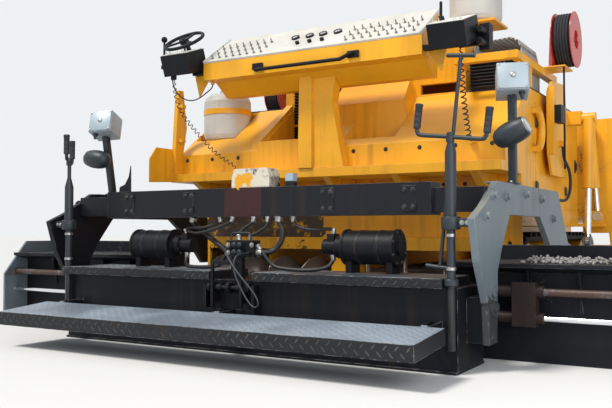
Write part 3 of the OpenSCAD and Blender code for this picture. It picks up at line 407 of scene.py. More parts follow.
def coated(name, colour, rough, dust, wear, runs, more):
    """A weathered finish. more sets colours, edge, grain, bump, metallic, coat and shine."""
    material, tree, shader = new_material(name)
    feed = {
        "Colour": (*colour, 1),
        "Dust colour": (*more.get("dust_colour", bpy.context.scene.paver_colours.dust), 1),
        "Bare colour": (*more.get("bare", (0.10, 0.075, 0.06)), 1),
        "Run colour": (*more.get("run_colour", (0.09, 0.05, 0.02)), 1),
        "Dust": dust,
        "Wear": wear,
        "Runs": runs,
        "Roughness": rough,
        "Edge": more.get("edge", 0.006),
        "Grain": more.get("grain", 140.0),
    }
    coat = use(tree, "Weathered coat", feed)
    feed = {
        "Height": coat["Height"],
        "Normal": coat["Normal"],
        "Distance": 0.001,
        "Strength": more.get("bump", 0.35),
    }
    normal = put(tree, "ShaderNodeBump", feed).outputs[0]
    tree.links.new(coat["Colour"], shader.inputs["Base Color"])
    tree.links.new(coat["Roughness"], shader.inputs["Roughness"])
    tree.links.new(normal, shader.inputs["Normal"])
    shader.inputs["Metallic"].default_value = more.get("metallic", 0.0)
    shader.inputs["Specular IOR Level"].default_value = more.get("shine", 0.5)
    shader.inputs["Coat Weight"].default_value = more.get("coat", 0.0)
    shader.inputs["Coat Roughness"].default_value = 0.15
    return Finish(material, tree, shader, normal)


def lay_over(made, mask, colour):
    """Lays a colour over a finish where the mask is 1."""
    socket = made.shader.inputs["Base Color"]
    made.tree.links.new(mix(made.tree, mask, socket.links[0].from_socket, colour), socket)


def roughen(made, mask, value):
    """Brings a finish's roughness to a value where the mask is 1."""
    socket = made.shader.inputs["Roughness"]
    blend = remap(made.tree, mask, 0.0, 1.0, socket.links[0].from_socket, value)
    made.tree.links.new(blend, socket)


def emboss(made, height, distance, strength=1.0):
    """Raises a finish's surface by a height."""
    feed = {"Height": height, "Normal": made.normal, "Distance": distance, "Strength": strength}
    bump = put(made.tree, "ShaderNodeBump", feed)
    made.tree.links.new(bump.outputs[0], made.shader.inputs["Normal"])


def add_crumbs(made, amount, size=0.012, depth=0.006, settle=0.16):
    """Lays crumbs of mix over a finish, with more of them on what faces up."""
    tree = made.tree
    crumbs = use(tree, "Mix crumbs", {"Amount": amount, "Size": size, "Settle": settle})
    stone = mix(tree, crumbs["Tint"], (0.012, 0.012, 0.013, 1), (0.11, 0.10, 0.095, 1))
    lay_over(made, crumbs["Mask"], stone)
    emboss(made, crumbs["Height"], depth, 0.8)
    roughen(made, crumbs["Mask"], 0.8)


def add_tread(made, least_sheen, most_sheen):
    """Presses tread bars into a finish, polishes them and paints a pale sheen of reflected sky over
    what faces up.
    """
    tree = made.tree
    height = use(tree, "Tread plate")["Height"]
    across = axes(tree, surface_normal(tree))["X"]
    height = times(tree, height, remap(tree, calc(tree, "ABSOLUTE", across), 0.4, 0.2))
    patch = remap(tree, noise(tree, object_coords(tree), 1.7, 4.0), 0.42, 0.62)
    up = facing_up(tree)
    # Painted reflection: a pale blue-grey sheen of sky laid on what faces up
    painted_sky_sheen = times(tree, remap(tree, up, 0.5, 0.9), remap(tree, patch, 0.0, 1.0, least_sheen, most_sheen))
    lay_over(made, painted_sky_sheen, (0.29, 0.35, 0.42, 1))
    polished = times(tree, height, patch, remap(tree, up, 0.5, 0.9, 0.12, 1.0))
    lay_over(made, polished, (0.50, 0.52, 0.55, 1))
    emboss(made, height, 0.003)


def add_thread(made, pitch, depth):
    """Cuts even grooves round an upright screw."""
    tree = made.tree
    wave = calc(tree, "PINGPONG", axes(tree, object_coords(tree))["Z"], pitch / 2)
    emboss(made, remap(tree, wave, pitch * 0.08, pitch * 0.16), depth)


def add_bars(made, pitch, low):
    """Paints dark leaning gaps on the faces that look back or forward, above a height: painted
    shade of the guard's slots.
    """
    tree = made.tree
    part = axes(tree, object_coords(tree))
    ends = calc(tree, "ABSOLUTE", axes(tree, surface_normal(tree))["Y"])
    leaning = calc(tree, "MULTIPLY_ADD", part["Z"], -0.25, part["X"])
    wave = calc(tree, "PINGPONG", leaning, pitch / 2)
    painted_slot_shade = remap(tree, wave, pitch * 0.16, pitch * 0.24, 1.0, 0.0)
    above = remap(tree, part["Z"], low, low + 0.004)
    mask = times(tree, painted_slot_shade, remap(tree, ends, 0.6, 0.8), above)
    lay_over(made, mask, (0.012, 0.012, 0.013, 1))


def box_mask(tree, spans, soft, offset=0.0):
    """1 inside a box of the part's space, given as (axis, low, high) spans."""
    part = axes(tree, object_coords(tree))
    mask = 1.0
    for axis, low, high in spans:
        value = calc(tree, "ADD", part[axis], offset)
        rise = remap(tree, value, low - soft, low + soft)
        mask = times(tree, mask, rise, remap(tree, value, high + soft, high - soft))
    return mask


def add_patch(made, colour, spans, ragged):
    """Paints a box of the part's space another colour, with a broken edge; it lays real marks and
    also painted shade.
    """
    tree = made.tree
    coords = object_coords(tree)
    wobble = times(tree, calc(tree, "SUBTRACT", noise(tree, coords, 24.0), 0.5), ragged * 2)
    wear_and_shade_breakup = remap(tree, noise(tree, coords, 9.0, 5.0, 0.7), 0.34, 0.46)
    lay_over(made, times(tree, box_mask(tree, spans, 0.004, wobble), wear_and_shade_breakup), (*colour, 1))


def add_chrome(made, spans):
    """Turns a box of the part's space to clean chrome."""
    mask = box_mask(made.tree, spans, 0.0004)
    lay_over(made, mask, (0.80, 0.82, 0.85, 1))
    made.tree.links.new(mask, made.shader.inputs["Metallic"])
    roughen(made, mask, 0.12)


DARK = (0.012, 0.012, 0.013)
WORN_STEEL = (0.5, 0.48, 0.46)
TREAD = {
    "bare": (0.45, 0.44, 0.42),
    "metallic": 0.2,
    "dust_colour": (0.22, 0.23, 0.24),
    "shine": 0.35,
}
GREY_WORN = {"bare": (0.42, 0.42, 0.42)}

# Each finish's colour, or the name of a user's colour, its roughness, dust, wear and runs,
# and what else it sets
FINISHES = {
    "yellow_paint": ("yellow", 0.34, 0.18, 0.75, 0.42, {"coat": 0.05}),
    "hopper_yellow": ("yellow", 0.38, 0.40, 0.9, 0.45, {"bare": (0.12, 0.055, 0.03)}),
    "track_rubber": ((0.016, 0.016, 0.017), 0.72, 0.5, 0.3, 0.1, {"shine": 0.25}),
    "slat_steel": (
        (0.20, 0.17, 0.15), 0.42, 0.5, 0.7, 0.1, {"metallic": 0.7, "bare": WORN_STEEL}
    ),
    "bare_steel": (
        (0.26, 0.23, 0.21), 0.38, 0.45, 0.7, 0.1, {"metallic": 0.8, "bare": WORN_STEEL}
    ),
    "engine_iron": ((0.10, 0.11, 0.12), 0.55, 0.4, 0.3, 0.5, {}),
    "deck_steel": ((0.014, 0.016, 0.020), 0.42, 0.30, 0.8, 0.2, TREAD),
    "step_steel": ((0.014, 0.016, 0.020), 0.42, 0.30, 0.8, 0.2, TREAD),
    "panel_white": ("white", 0.38, 0.34, 0.2, 0.35, {"dust_colour": (0.42, 0.36, 0.28)}),
    "black_fittings": ((0.006, 0.007, 0.010), 0.42, 0.06, 0.4, 0.1, {"shine": 0.2}),
    "white_plastic": (
        (0.62, 0.61, 0.57), 0.42, 0.30, 0.05, 0.5,
        {"edge": 0.012, "run_colour": (0.25, 0.20, 0.14)},
    ),
    "guard_grey": ((0.42, 0.42, 0.40), 0.5, 0.4, 0.4, 0.5, {}),
    "reel_red": ("red", 0.36, 0.2, 0.5, 0.3, {"coat": 0.2}),
    "rod_chrome": ((0.78, 0.80, 0.83), 0.12, 0.08, 0.0, 0.1, {"metallic": 1.0, "bump": 0.1}),
    "screed_black": (
        "black", 0.42, 0.08, 0.8, 0.2, {"bare": (0.30, 0.30, 0.31), "shine": 0.2}
    ),
    "bracket_grey": ("grey", 0.42, 0.52, 0.8, 0.6, GREY_WORN),
    "louvre_black": (DARK, 0.5, 0.2, 0.3, 0.1, {"shine": 0.25}),
    "switch_metal": ((0.30, 0.29, 0.27), 0.35, 0.15, 0.2, 0.0, {"metallic": 0.8}),
    "beam_black": (
        "black", 0.36, 0.06, 0.45, 0.2, {"bare": (0.24, 0.24, 0.25), "shine": 0.25}
    ),
    "guide_brown": (
        (0.022, 0.014, 0.013), 0.5, 0.2, 0.5, 0.4, {"bare": (0.16, 0.08, 0.05), "shine": 0.25}
    ),
    "box_metal": (
        (0.36, 0.43, 0.48), 0.36, 0.22, 0.5, 0.3, {"bare": (0.10, 0.09, 0.08), "metallic": 0.2}
    ),
    "grip_rubber": ((0.012, 0.015, 0.022), 0.55, 0.15, 0.1, 0.0, {"edge": 0.002}),
    "threaded_steel": (
        (0.05, 0.052, 0.058), 0.34, 0.12, 0.3, 0.1, {"metallic": 0.6, "bare": (0.4, 0.4, 0.4)}
    ),
    "fitting_steel": (
        (0.42, 0.42, 0.41), 0.30, 0.16, 0.4, 0.1, {"metallic": 0.9, "edge": 0.001}
    ),
    "hose_black": (DARK, 0.42, 0.14, 0.0, 0.0, {"edge": 0.001}),
    "lamp_lens": ((0.62, 0.63, 0.62), 0.18, 0.12, 0.0, 0.0, {"edge": 0.002}),
    "stone_grey": ((0.34, 0.32, 0.31), 0.75, 0.3, 0.0, 0.0, {"edge": 0.001, "grain": 400.0}),
    "gate_grey": ("grey", 0.42, 0.38, 0.8, 0.5, GREY_WORN),
    "dial_white": ((0.75, 0.74, 0.70), 0.3, 0.1, 0.0, 0.0, {}),
    "cord_black": (DARK, 0.48, 0.18, 0.0, 0.0, {"edge": 0.001}),
    "cord_grey": ((0.035, 0.038, 0.042), 0.45, 0.2, 0.0, 0.0, {"edge": 0.001}),
    "deck_mix": ("black", 0.5, 0.2, 0.6, 0.1, {"bare": (0.3, 0.3, 0.3), "shine": 0.2}),
}

# The amount of crumbs on a finish, and their size, depth and liking for level places
CRUMBS = {
    "hopper_yellow": (0.35,),
    "screed_black": (0.14,),
    "beam_black": (0.08,),
    "bracket_grey": (0.10,),
    "track_rubber": (0.30, 0.016, 0.008),
    "slat_steel": (0.45, 0.016, 0.008),
    "bare_steel": (0.40, 0.014, 0.007),
    "deck_mix": (0.22, 0.016, 0.010, 0.42),
}

# Between the end gates' plates, where their rods lie
ROD_SPAN = ("X", -2.7495, 2.7495)


def make_finishes():
    """Every finish by its name."""
    made = {}
    for name, (colour, *amounts) in FINISHES.items():
        if isinstance(colour, str):
            colour = getattr(bpy.context.scene.paver_colours, colour)
        made[name] = coated(name, colour, *amounts)
    # The two numbers are the least and the most painted sky sheen on each plate's top
    add_tread(made["deck_steel"], 0.12, 0.45)
    add_tread(made["step_steel"], 0.60, 0.95)
    for name, amounts in CRUMBS.items():
        add_crumbs(made[name], *amounts)
    # Painted shade: a dark brown patch on the rear wall's left part under the beam, standing in for
    # its shadow
    wall = [("X", -1.46, -0.22), ("Y", REAR + 2.10, REAR + 2.32), ("Z", 0.30, 0.96)]
    add_patch(made["yellow_paint"], (0.060, 0.036, 0.016), wall, 0.09)
    add_patch(made["bracket_grey"], (0.035, 0.038, 0.042), [("Z", 0.10, 0.42)], 0.16)
    for colour, ragged, x0, x1, z0, z1 in (
        ((0.038, 0.013, 0.014), 0.012, -0.203, 0.100, 0.86, 1.084),
        ((0.62, 0.58, 0.48), 0.004, -0.151, 0.161, 1.088, 1.30),
        ((0.72, 0.34, 0.02), 0.05, -0.110, 0.020, 1.095, 1.18),
        ((0.30, 0.40, 0.48), 0.004, 0.280, 0.350, 1.120, 1.30),
    ):
        add_patch(made["beam_black"], colour, [("X", x0, x1), ("Z", z0, z1)], ragged)
    add_thread(made["threaded_steel"], 0.008, 0.002)
    add_bars(made["guard_grey"], 0.036, 2.10)
    add_chrome(made["gate_grey"], [ROD_SPAN, ("Z", 0.25, 0.31)])
    add_patch(made["gate_grey"], (0.060, 0.030, 0.020), [ROD_SPAN, ("Z", 0.40, 0.47)], 0.0)
    return {name: finish.material for name, finish in made.items()}


# Nodes whose finish isn't that of their material slot
FINISH_OF = {
    "step": "step_steel",
    "cross_beam": "beam_black",
    "extension_guides": "guide_brown",
    "end_gate_left": "gate_grey",
    "end_gate_right": "gate_grey",
    "wing_left": "hopper_yellow",
    "wing_right": "hopper_yellow",
    "hopper_wall": "hopper_yellow",
    "extension_left": "deck_mix",
    "extension_right": "deck_mix",
}


def finish_cad():
    """Gives every CAD node the finish of its material slot."""
    made = make_finishes()
    slots = {part["node"]: part["material_slot"] for part in frame["record"]["subparts"]}
    for name, node in NODES.items():
        material = made[FINISH_OF.get(name, slots[name])]
        if not node.material_slots:
            node.data.materials.append(material)
        for slot in node.material_slots:
            slot.material = material


# Cords


def smooth_route(points, steps=8):
    """A smooth line through the points."""
    line = []
    for i, (a, b) in enumerate(zip(points, points[1:])):
        before, after = points[max(i - 1, 0)], points[min(i + 2, len(points) - 1)]
        bend = 2 * before - 5 * a + 4 * b - after
        twist = 3 * a - before - 3 * b + after
        for step in range(steps):
            t = step / steps
            line.append(0.5 * (2 * a + (b - before) * t + bend * t * t + twist * t * t * t))
    return [*line, points[-1]]


def relaxed(line, passes):
    """The line with its bends eased, and its ends and their directions kept."""
    for _ in range(passes):
        eased = [(a + 2 * b + c) / 4 for a, b, c in zip(line, line[1:], line[2:])]
        line = line[:3] + eased[2:-2] + line[-3:]
    return line


def measured(line):
    return sum((b - a).length for a, b in zip(line, line[1:]))


def curled(line, radius, pitch, ease=0.06, per_turn=14):
    """The line of a wire wound round another line, which it meets at both ends."""
    total = measured(line)
    turns = total / pitch
    count = int(turns * per_turn)
    wound, walked, i = [], 0.0, 0
    side = Vector((1, 0, 0))
    for k in range(count + 1):
        goal = total * k / count
        while i < len(line) - 2 and walked + (line[i + 1] - line[i]).length < goal:
            walked += (line[i + 1] - line[i]).length
            i += 1
        ahead = (line[i + 1] - line[i]).normalized()
        side = (side - ahead * side.dot(ahead)).normalized()
        up = ahead.cross(side)
        angle = 2 * math.pi * turns * k / count
        reach = radius * min(1.0, goal / ease, (total - goal) / ease)
        centre = line[i] + ahead * (goal - walked)
        wound.append(centre + reach * (math.cos(angle) * side + math.sin(angle) * up))
    return wound


def cord_curve(name, line, radius, finish):
    """A round cord along a line, as a curve of one open spline."""
    data = bpy.data.curves.new(name, "CURVE")
    data.dimensions = "3D"
    data.bevel_depth = radius
    data.bevel_resolution = bpy.context.scene.paver_sizes.cord_sides
    data.use_fill_caps = True
    spline = data.splines.new("POLY")
    spline.points.add(len(line) - 1)
    for point, place in zip(spline.points, line):
        point.co = (*place, 1.0)
    piece = bpy.data.objects.new(name, data)
    bpy.context.scene.collection.objects.link(piece)
    data.materials.append(bpy.data.materials[finish])
    return piece


# Each cord's CAD node, body, radius, stiffness, finish and route, and either the passes that
# ease its bends or the radius and pitch of its curls
CORDS = [
    {
        "node": "station_cable", "body": "tractor", "radius": 0.005,
        "stiffness": "medium", "finish": "cord_black", "ease": 90,
        "route": [
            (-1.235, 1.45, 2.045), (-1.235, 1.45, 2), (-1.205, 1.455, 1.94), (-1.155, 1.47, 1.885),
            (-1.095, 1.49, 1.855), (-1.035, 1.515, 1.865), (-0.99, 1.54, 1.9), (-0.955, 1.56, 1.94),
            (-0.93, 1.582, 1.962), (-0.925, 1.59, 1.98), (-0.925, 1.59, 2),
        ],
    },
    {
        "node": "curly_left", "body": "tractor", "radius": 0.0035,
        "stiffness": "limp", "finish": "cord_black", "curl": (0.0135, 0.042),
        "route": [
            (-1.19, 1.425, 2.04), (-1.19, 1.425, 1.96), (-1.185, 1.445, 1.87), (-1.16, 1.48, 1.77),
            (-1.105, 1.54, 1.66), (-1.03, 1.6, 1.55), (-0.95, 1.65, 1.45), (-0.865, 1.705, 1.375),
            (-0.8, 1.73, 1.33), (-0.8, 1.73, 1.3),
        ],
    },
    {
        "node": "curly_right", "body": "tractor", "radius": 0.0045,
        "stiffness": "limp", "finish": "cord_black", "curl": (0.0165, 0.04),
        "route": [
            (1.24, 1.5, 2.03), (1.24, 1.5, 1.95), (1.24, 1.52, 1.85), (1.235, 1.555, 1.75),
            (1.23, 1.6, 1.65), (1.225, 1.65, 1.56), (1.22, 1.7, 1.48), (1.22, 1.74, 1.43),
            (1.22, 1.77, 1.43),
        ],
    },
    {
        "node": "side_hose", "body": "tractor", "radius": 0.0125,
        "stiffness": "medium", "finish": "cord_black", "ease": 40,
        "route": [
            (1.548, 3.11, 1.49), (1.548, 3.11, 1.44), (1.548, 3.15, 1.385), (1.548, 3.23, 1.355),
            (1.548, 3.32, 1.32), (1.548, 3.38, 1.25), (1.548, 3.375, 1.16), (1.548, 3.31, 1.085),
            (1.548, 3.21, 1.05), (1.548, 3.1, 1.04), (1.548, 3, 1.04), (1.548, 2.9, 1.04),
        ],
    },
    {
        "node": "shelf_loop", "body": "screed", "radius": 0.006,
        "stiffness": "medium", "finish": "cord_grey", "ease": 40,
        "route": [
            (-0.09, 0.7, 0.68), (-0.09, 0.665, 0.68), (-0.06, 0.605, 0.665), (0, 0.545, 0.64),
            (0.07, 0.505, 0.58), (0.15, 0.495, 0.5), (0.235, 0.49, 0.425), (0.28, 0.49, 0.37),
            (0.285, 0.494, 0.328), (0.25, 0.5, 0.31), (0.2, 0.508, 0.34), (0.15, 0.515, 0.405),
            (0.105, 0.522, 0.47), (0.07, 0.53, 0.53), (0.062, 0.533, 0.585), (0.066, 0.545, 0.622),
            (0.065, 0.58, 0.642), (0.06, 0.64, 0.646), (0.06, 0.7, 0.646),
        ],
    },
]


def make_cords():
    for cord in CORDS:
        line = smooth_route([spot(*point) for point in cord["route"]])
        if "curl" in cord:
            line = curled(line, *cord["curl"])
        else:
            line = relaxed(line, cord["ease"])
        piece = cord_curve(cord["node"] + "_cord", line, cord["radius"], cord["finish"])
        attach(piece, cord["body"])
        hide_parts(cord["node"])
        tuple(line[0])
        measured(line)


# Small trim

UP = (0, 0, 1)
BACK = (0, -1, 0)

# Gaps that keep trim clear of what it stands on
SEAT = 0.0003
THIN_SEAT = 0.0002


def shift(x, y, z):
    return Matrix.Translation((x, y, z))


def turn(degrees, axis):
    return Matrix.Rotation(math.radians(degrees), 4, axis)


def mirror(side):
    """Swaps left and right where side is -1."""
    return Matrix.Diagonal((side, 1, 1, 1))


def heading(place, axis):
    """An axis of a place, in the part's space."""
    return place.to_3x3() @ Vector(axis)


def facing(axis, at):
    """A place at a point, with its Z along an axis."""
    return Matrix.Translation(at) @ Vector(axis).to_track_quat("Z", "Y").to_matrix().to_4x4()


def join(mesh, part, matrix=None):
    """Adds one bmesh to another."""
    if matrix is not None:
        bmesh.ops.transform(part, matrix=matrix, verts=part.verts)
    scrap = bpy.data.meshes.new("scrap")
    part.to_mesh(scrap)
    part.free()
    mesh.from_mesh(scrap)
    bpy.data.meshes.remove(scrap)


def round_edges(part, edges, offset, segments):
    bmesh.ops.bevel(
        part, geom=edges, offset=offset, affect="EDGES", segments=segments, profile=0.5, material=-1
    )


def puck(radius, low, high):
    """The outline of a plain disc."""
    return [(0, low), (radius, low), (radius, high), (0, high)]


def turned_part(mesh, outline, at, axis, steps):
    """Spins an outline of (radius, height) points round an axis through a point."""
    part = bmesh.new()
    verts = [part.verts.new((radius, 0, height)) for radius, height in outline]
    edges = [part.edges.new(pair) for pair in zip(verts, verts[1:])]
    whole = {"cent": (0, 0, 0), "axis": UP, "angle": 2 * math.pi, "use_merge": True}
    bmesh.ops.spin(part, geom=verts + edges, steps=steps, **whole)
    bmesh.ops.remove_doubles(part, verts=part.verts, dist=1e-5)
    bmesh.ops.dissolve_degenerate(part, edges=part.edges, dist=1e-6)
    bmesh.ops.recalc_face_normals(part, faces=part.faces)
    join(mesh, part, facing(axis, at))


def slab(mesh, low, high, matrix, rounding=0.0, segments=2):
    """Adds a block between two corners, with rounded edges."""
    part = bmesh.new()
    bmesh.ops.create_cube(part, size=1)
    size = Vector(high) - Vector(low)
    centre = (Vector(high) + Vector(low)) / 2
    between = Matrix.Translation(centre) @ Matrix.Diagonal((*size, 1))
    bmesh.ops.transform(part, matrix=between, verts=part.verts)
    if rounding:
        round_edges(part, part.edges[:], rounding, segments)
    join(mesh, part, matrix)


def hex_head(mesh, at, axis, radius, height):
    """Adds a bolt's washer and its six sided head."""
    turned_part(mesh, puck(radius * 1.5, 0, height * 0.2), at, axis, 16)
    part = bmesh.new()
    bmesh.ops.create_cone(
        part, cap_ends=True, segments=6, radius1=radius, radius2=radius, depth=height * 0.8
    )
    rim = [edge for edge in part.edges if all(v.co.z > 0 for v in edge.verts)]
    round_edges(part, rim, height * 0.12, 2)
    join(mesh, part, facing(axis, at) @ shift(0, 0, height * 0.6))


def pipe(mesh, points, radius, sides, steps=6):
    """Adds a round pipe along a smooth line through the points, with closed ends."""
    line = smooth_route([Vector(point) for point in points], steps)
    frames = []
    side = None
    for i, place in enumerate(line):
        ahead = (line[min(i + 1, len(line) - 1)] - line[max(i - 1, 0)]).normalized()
        if side is None:
            side = ahead.orthogonal()
        side = (side - ahead * side.dot(ahead)).normalized()
        across = Matrix((side, ahead.cross(side), ahead)).transposed().to_4x4()
        frames.append(Matrix.Translation(place) @ across)
    part = bmesh.new()
    bmesh.ops.create_circle(part, cap_ends=False, radius=radius, segments=sides)
    bmesh.ops.transform(part, matrix=frames[0], verts=part.verts)
    rim = part.edges[:]
    for before, after in zip(frames, frames[1:]):
        made = bmesh.ops.extrude_edge_only(part, edges=rim)["geom"]
        ring = {item for item in made if isinstance(item, bmesh.types.BMVert)}
        rim = [e for e in made if isinstance(e, bmesh.types.BMEdge) and set(e.verts) <= ring]
        bmesh.ops.transform(part, matrix=after @ before.inverted(), verts=list(ring))
    bmesh.ops.holes_fill(part, edges=[e for e in part.edges if e.is_boundary], sides=0)
    join(mesh, part)
    return frames


def plate(mesh, outline, thickness, matrix, rounding):
    """Adds a flat plate from an outline in its own X and Y."""
    part = bmesh.new()
    verts = [part.verts.new((x, y, 0)) for x, y in outline]
    made = bmesh.ops.extrude_face_region(part, geom=[part.faces.new(verts)])["geom"]
    top = [item for item in made if isinstance(item, bmesh.types.BMVert)]
    bmesh.ops.translate(part, verts=top, vec=(0, 0, thickness))
    round_edges(part, part.edges[:], rounding, 1)
    join(mesh, part, matrix)


def finished(mesh, name, body, finish, smooth=True):
    """Makes a piece of a bmesh and sets its body, finish and material slot."""
    bmesh.ops.recalc_face_normals(mesh, faces=mesh.faces)
    data = bpy.data.meshes.new(name)
    mesh.to_mesh(data)
    mesh.free()
    if smooth:
        data.shade_smooth()
        data.set_sharp_from_angle(angle=math.radians(35))
    piece = bpy.data.objects.new(name, data)
    bpy.context.scene.collection.objects.link(piece)
    data.materials.append(bpy.data.materials[finish])
    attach(piece, body)
    return piece


# The switch panel's plane, through the console's rear top edge, its slope as rise and run, and
# the dials on it
PANEL_SLOPE = math.atan2(0.26, 0.37)
PANEL = Matrix.Translation(spot(0, 1.51, 2.16)) @ Matrix.Rotation(PANEL_SLOPE, 4, "X")
DIALS = [(x, 0.25, 0.024) for x in (-0.19, -0.06, 0.06, 0.19)]
DIAL_RIM = [
    (0.027, THIN_SEAT), (0.034, THIN_SEAT), (0.034, 0.005), (0.031, 0.008), (0.027, 0.007),
    (0.027, THIN_SEAT),
]


def make_dials():
    """Round dials with a rim, a face, marks and a pointer."""
    rims, faces, marks = (bmesh.new() for _ in range(3))
    axis = heading(PANEL, UP)
    for number, centre in enumerate(DIALS):
        place = PANEL @ shift(*centre)
        at = place.translation
        turned_part(rims, DIAL_RIM, at, axis, 32)
        turned_part(faces, puck(0.0268, THIN_SEAT, 0.002), at, axis, 32)
        for step in range(9):
            mark = place @ turn(-130 + step * 32.5, "Z")
            slab(marks, (-0.0006, 0.019, 0.002), (0.0006, 0.025, 0.0026), mark)
        pointer = place @ turn(-70 + number * 38, "Z")
        slab(marks, (-0.0009, -0.004, 0.003), (0.0009, 0.021, 0.0042), pointer)
        turned_part(marks, puck(0.0035, 0.002, 0.005), at, axis, 12)
    finished(rims, "dial_rims", "tractor", "black_fittings")
    finished(faces, "dial_faces", "tractor", "dial_white")
    finished(marks, "dial_marks", "tractor", "cord_black")


# Rear left lower corner, width, depth and height of the two tilted station boxes
STATIONS = [
    ((-1.27, 1.39, 2.062), 0.28, 0.23, 0.17),
    ((1.09, 1.31, 1.99), 0.26, 0.28, 0.165),
]
STATION_TILT = 20
PLATE_TOP = 0.006
KNOB = [(0, 0), (0.01, 0), (0.009, 0.006), (0.004, 0.009), (0.0035, 0.026), (0, 0.028)]


def make_station_tops():
    """Pale cover plates with their knobs and screws on the two station boxes."""
    plates, knobs = bmesh.new(), bmesh.new()
    for corner, width, depth, height in STATIONS:
        top = Matrix.Translation(spot(*corner)) @ turn(STATION_TILT, "X") @ shift(0, 0, height)
        axis = heading(top, UP)
        high = (width - 0.008, depth - 0.008, PLATE_TOP)
        slab(plates, (0.008, 0.008, THIN_SEAT), high, top, 0.002)
        for x in (0.035, 0.075, width - 0.075, width - 0.035):
            turned_part(knobs, KNOB, top @ Vector((x, 0.045, PLATE_TOP)), axis, 14)
        for y in (0.018, depth - 0.018):
            for x in (0.018, width - 0.018):
                hex_head(knobs, top @ Vector((x, y, PLATE_TOP)), axis, 0.005, 0.005)
    finished(plates, "station_plates", "tractor", "panel_white")
    finished(knobs, "station_knobs", "tractor", "switch_metal")


# Side, place of the axle in y and z, and flange radius of the two hose reels
REELS = [("left", 3.0, 2.12, 0.19), ("right", 3.1, 2.367, 0.23)]
REEL_HOSE = 0.011


def make_reel_wraps():
    """Two layers of hose wrapped round each reel's drum, which is 0.78 of its flange."""
    for side, y, z, flange in REELS:
        wraps = bmesh.new()
        low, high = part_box("reel_" + side)
        inner = flange * 0.78 + REEL_HOSE + SEAT
        count = int((high.x - low.x - 0.020) / (2 * REEL_HOSE))
        middle = (low.x + high.x) / 2
        for layer in range(2):
            radius = inner + layer * REEL_HOSE * 1.75
            ring = [
                (radius + REEL_HOSE * math.cos(a), REEL_HOSE * math.sin(a))
                for a in (k * math.pi / 4 for k in range(9))
            ]
            last = count - 1 - layer
            for wrap in range(count - layer):
                x = middle + (wrap - last / 2) * 2 * REEL_HOSE
                turned_part(wraps, ring, spot(x, y, z), (1, 0, 0), 36)
        finished(wraps, "reel_wraps_" + side, "reel_" + side, "cord_black")


# Rear and front edge of the doors on each side, their lower and upper edge, and their face
DOORS = [(2.6, 3.08), (3.6, 4.06)]
DOOR_LOW, DOOR_HIGH = 0.98, 1.795
DOOR_FACE = 1.456


def make_door_fittings():
    """Handles and hinges on the side doors."""
    steel = bmesh.new()
    middle = (DOOR_LOW + DOOR_HIGH) / 2
    for side in (-1, 1):
        for rear, front in DOORS:
            blocks = []
            for z in (DOOR_LOW + 0.12, DOOR_HIGH - 0.20):
                blocks += [
                    ((0, rear - 0.012, z), (0.012, rear + 0.012, z + 0.08), 0.004),
                    ((0, rear + 0.012, z + 0.01), (0.004, rear + 0.070, z + 0.07), 0.0015),
                ]
            for x0, x1, y0, y1, tall, rounding in (
                (0, 0.006, front - 0.085, front - 0.035, 0.06, 0.002),
                (0.006, 0.020, front - 0.070, front - 0.050, 0.035, 0.004),
            ):
                blocks.append(((x0, y0, middle - tall), (x1, y1, middle + tall), rounding))
            for (x0, y0, z0), (x1, y1, z1), rounding in blocks:
                low, high = spot(DOOR_FACE + x0, y0, z0), spot(DOOR_FACE + x1, y1, z1)
                slab(steel, low, high, mirror(side), rounding)
    finished(steel, "door_fittings", "tractor", "black_fittings")


# Side, foot, lean, height, tip and turn of the box, and tip of the lamp of the two posts
POSTS = [(-1, 1.183, 10, 1.62, 28, -18, 8), (1, 1.314, 0, 1.69, 14, 20, 25)]
POST_X = 1.64
ARCH_TOP = 1.084
BOX_REAR = -0.096
BOX_TOP = 0.122
LAMP = [
    (0, -0.115), (0.02, -0.114), (0.04, -0.106), (0.058, -0.086), (0.07, -0.05),
    (0.075, -0.008), (0.074, 0.046), (0.066, 0.088), (0.058, 0.104), (0.054, 0.1), (0, 0.1),
]
LAMP_RIM = [(0.0545, 0.098), (0.06, 0.098), (0.06, 0.108), (0.0545, 0.111), (0.0545, 0.098)]
LAMP_GLASS = [(0, 0.1002), (0.054, 0.1002), (0.05, 0.108), (0.03, 0.113), (0, 0.115)]
TOGGLE = [
    (0, 0), (0.012, 0), (0.012, 0.005), (0.005, 0.008), (0.0045, 0.03), (0.003, 0.034), (0, 0.035),
]
BUTTON = [(0, 0), (0.017, 0), (0.017, 0.006), (0.012, 0.01), (0, 0.011)]
GLAND = [
    (0, 0), (0.02, 0), (0.02, 0.014), (0.014, 0.018), (0.011, 0.04), (0.008, 0.046), (0, 0.046),
]


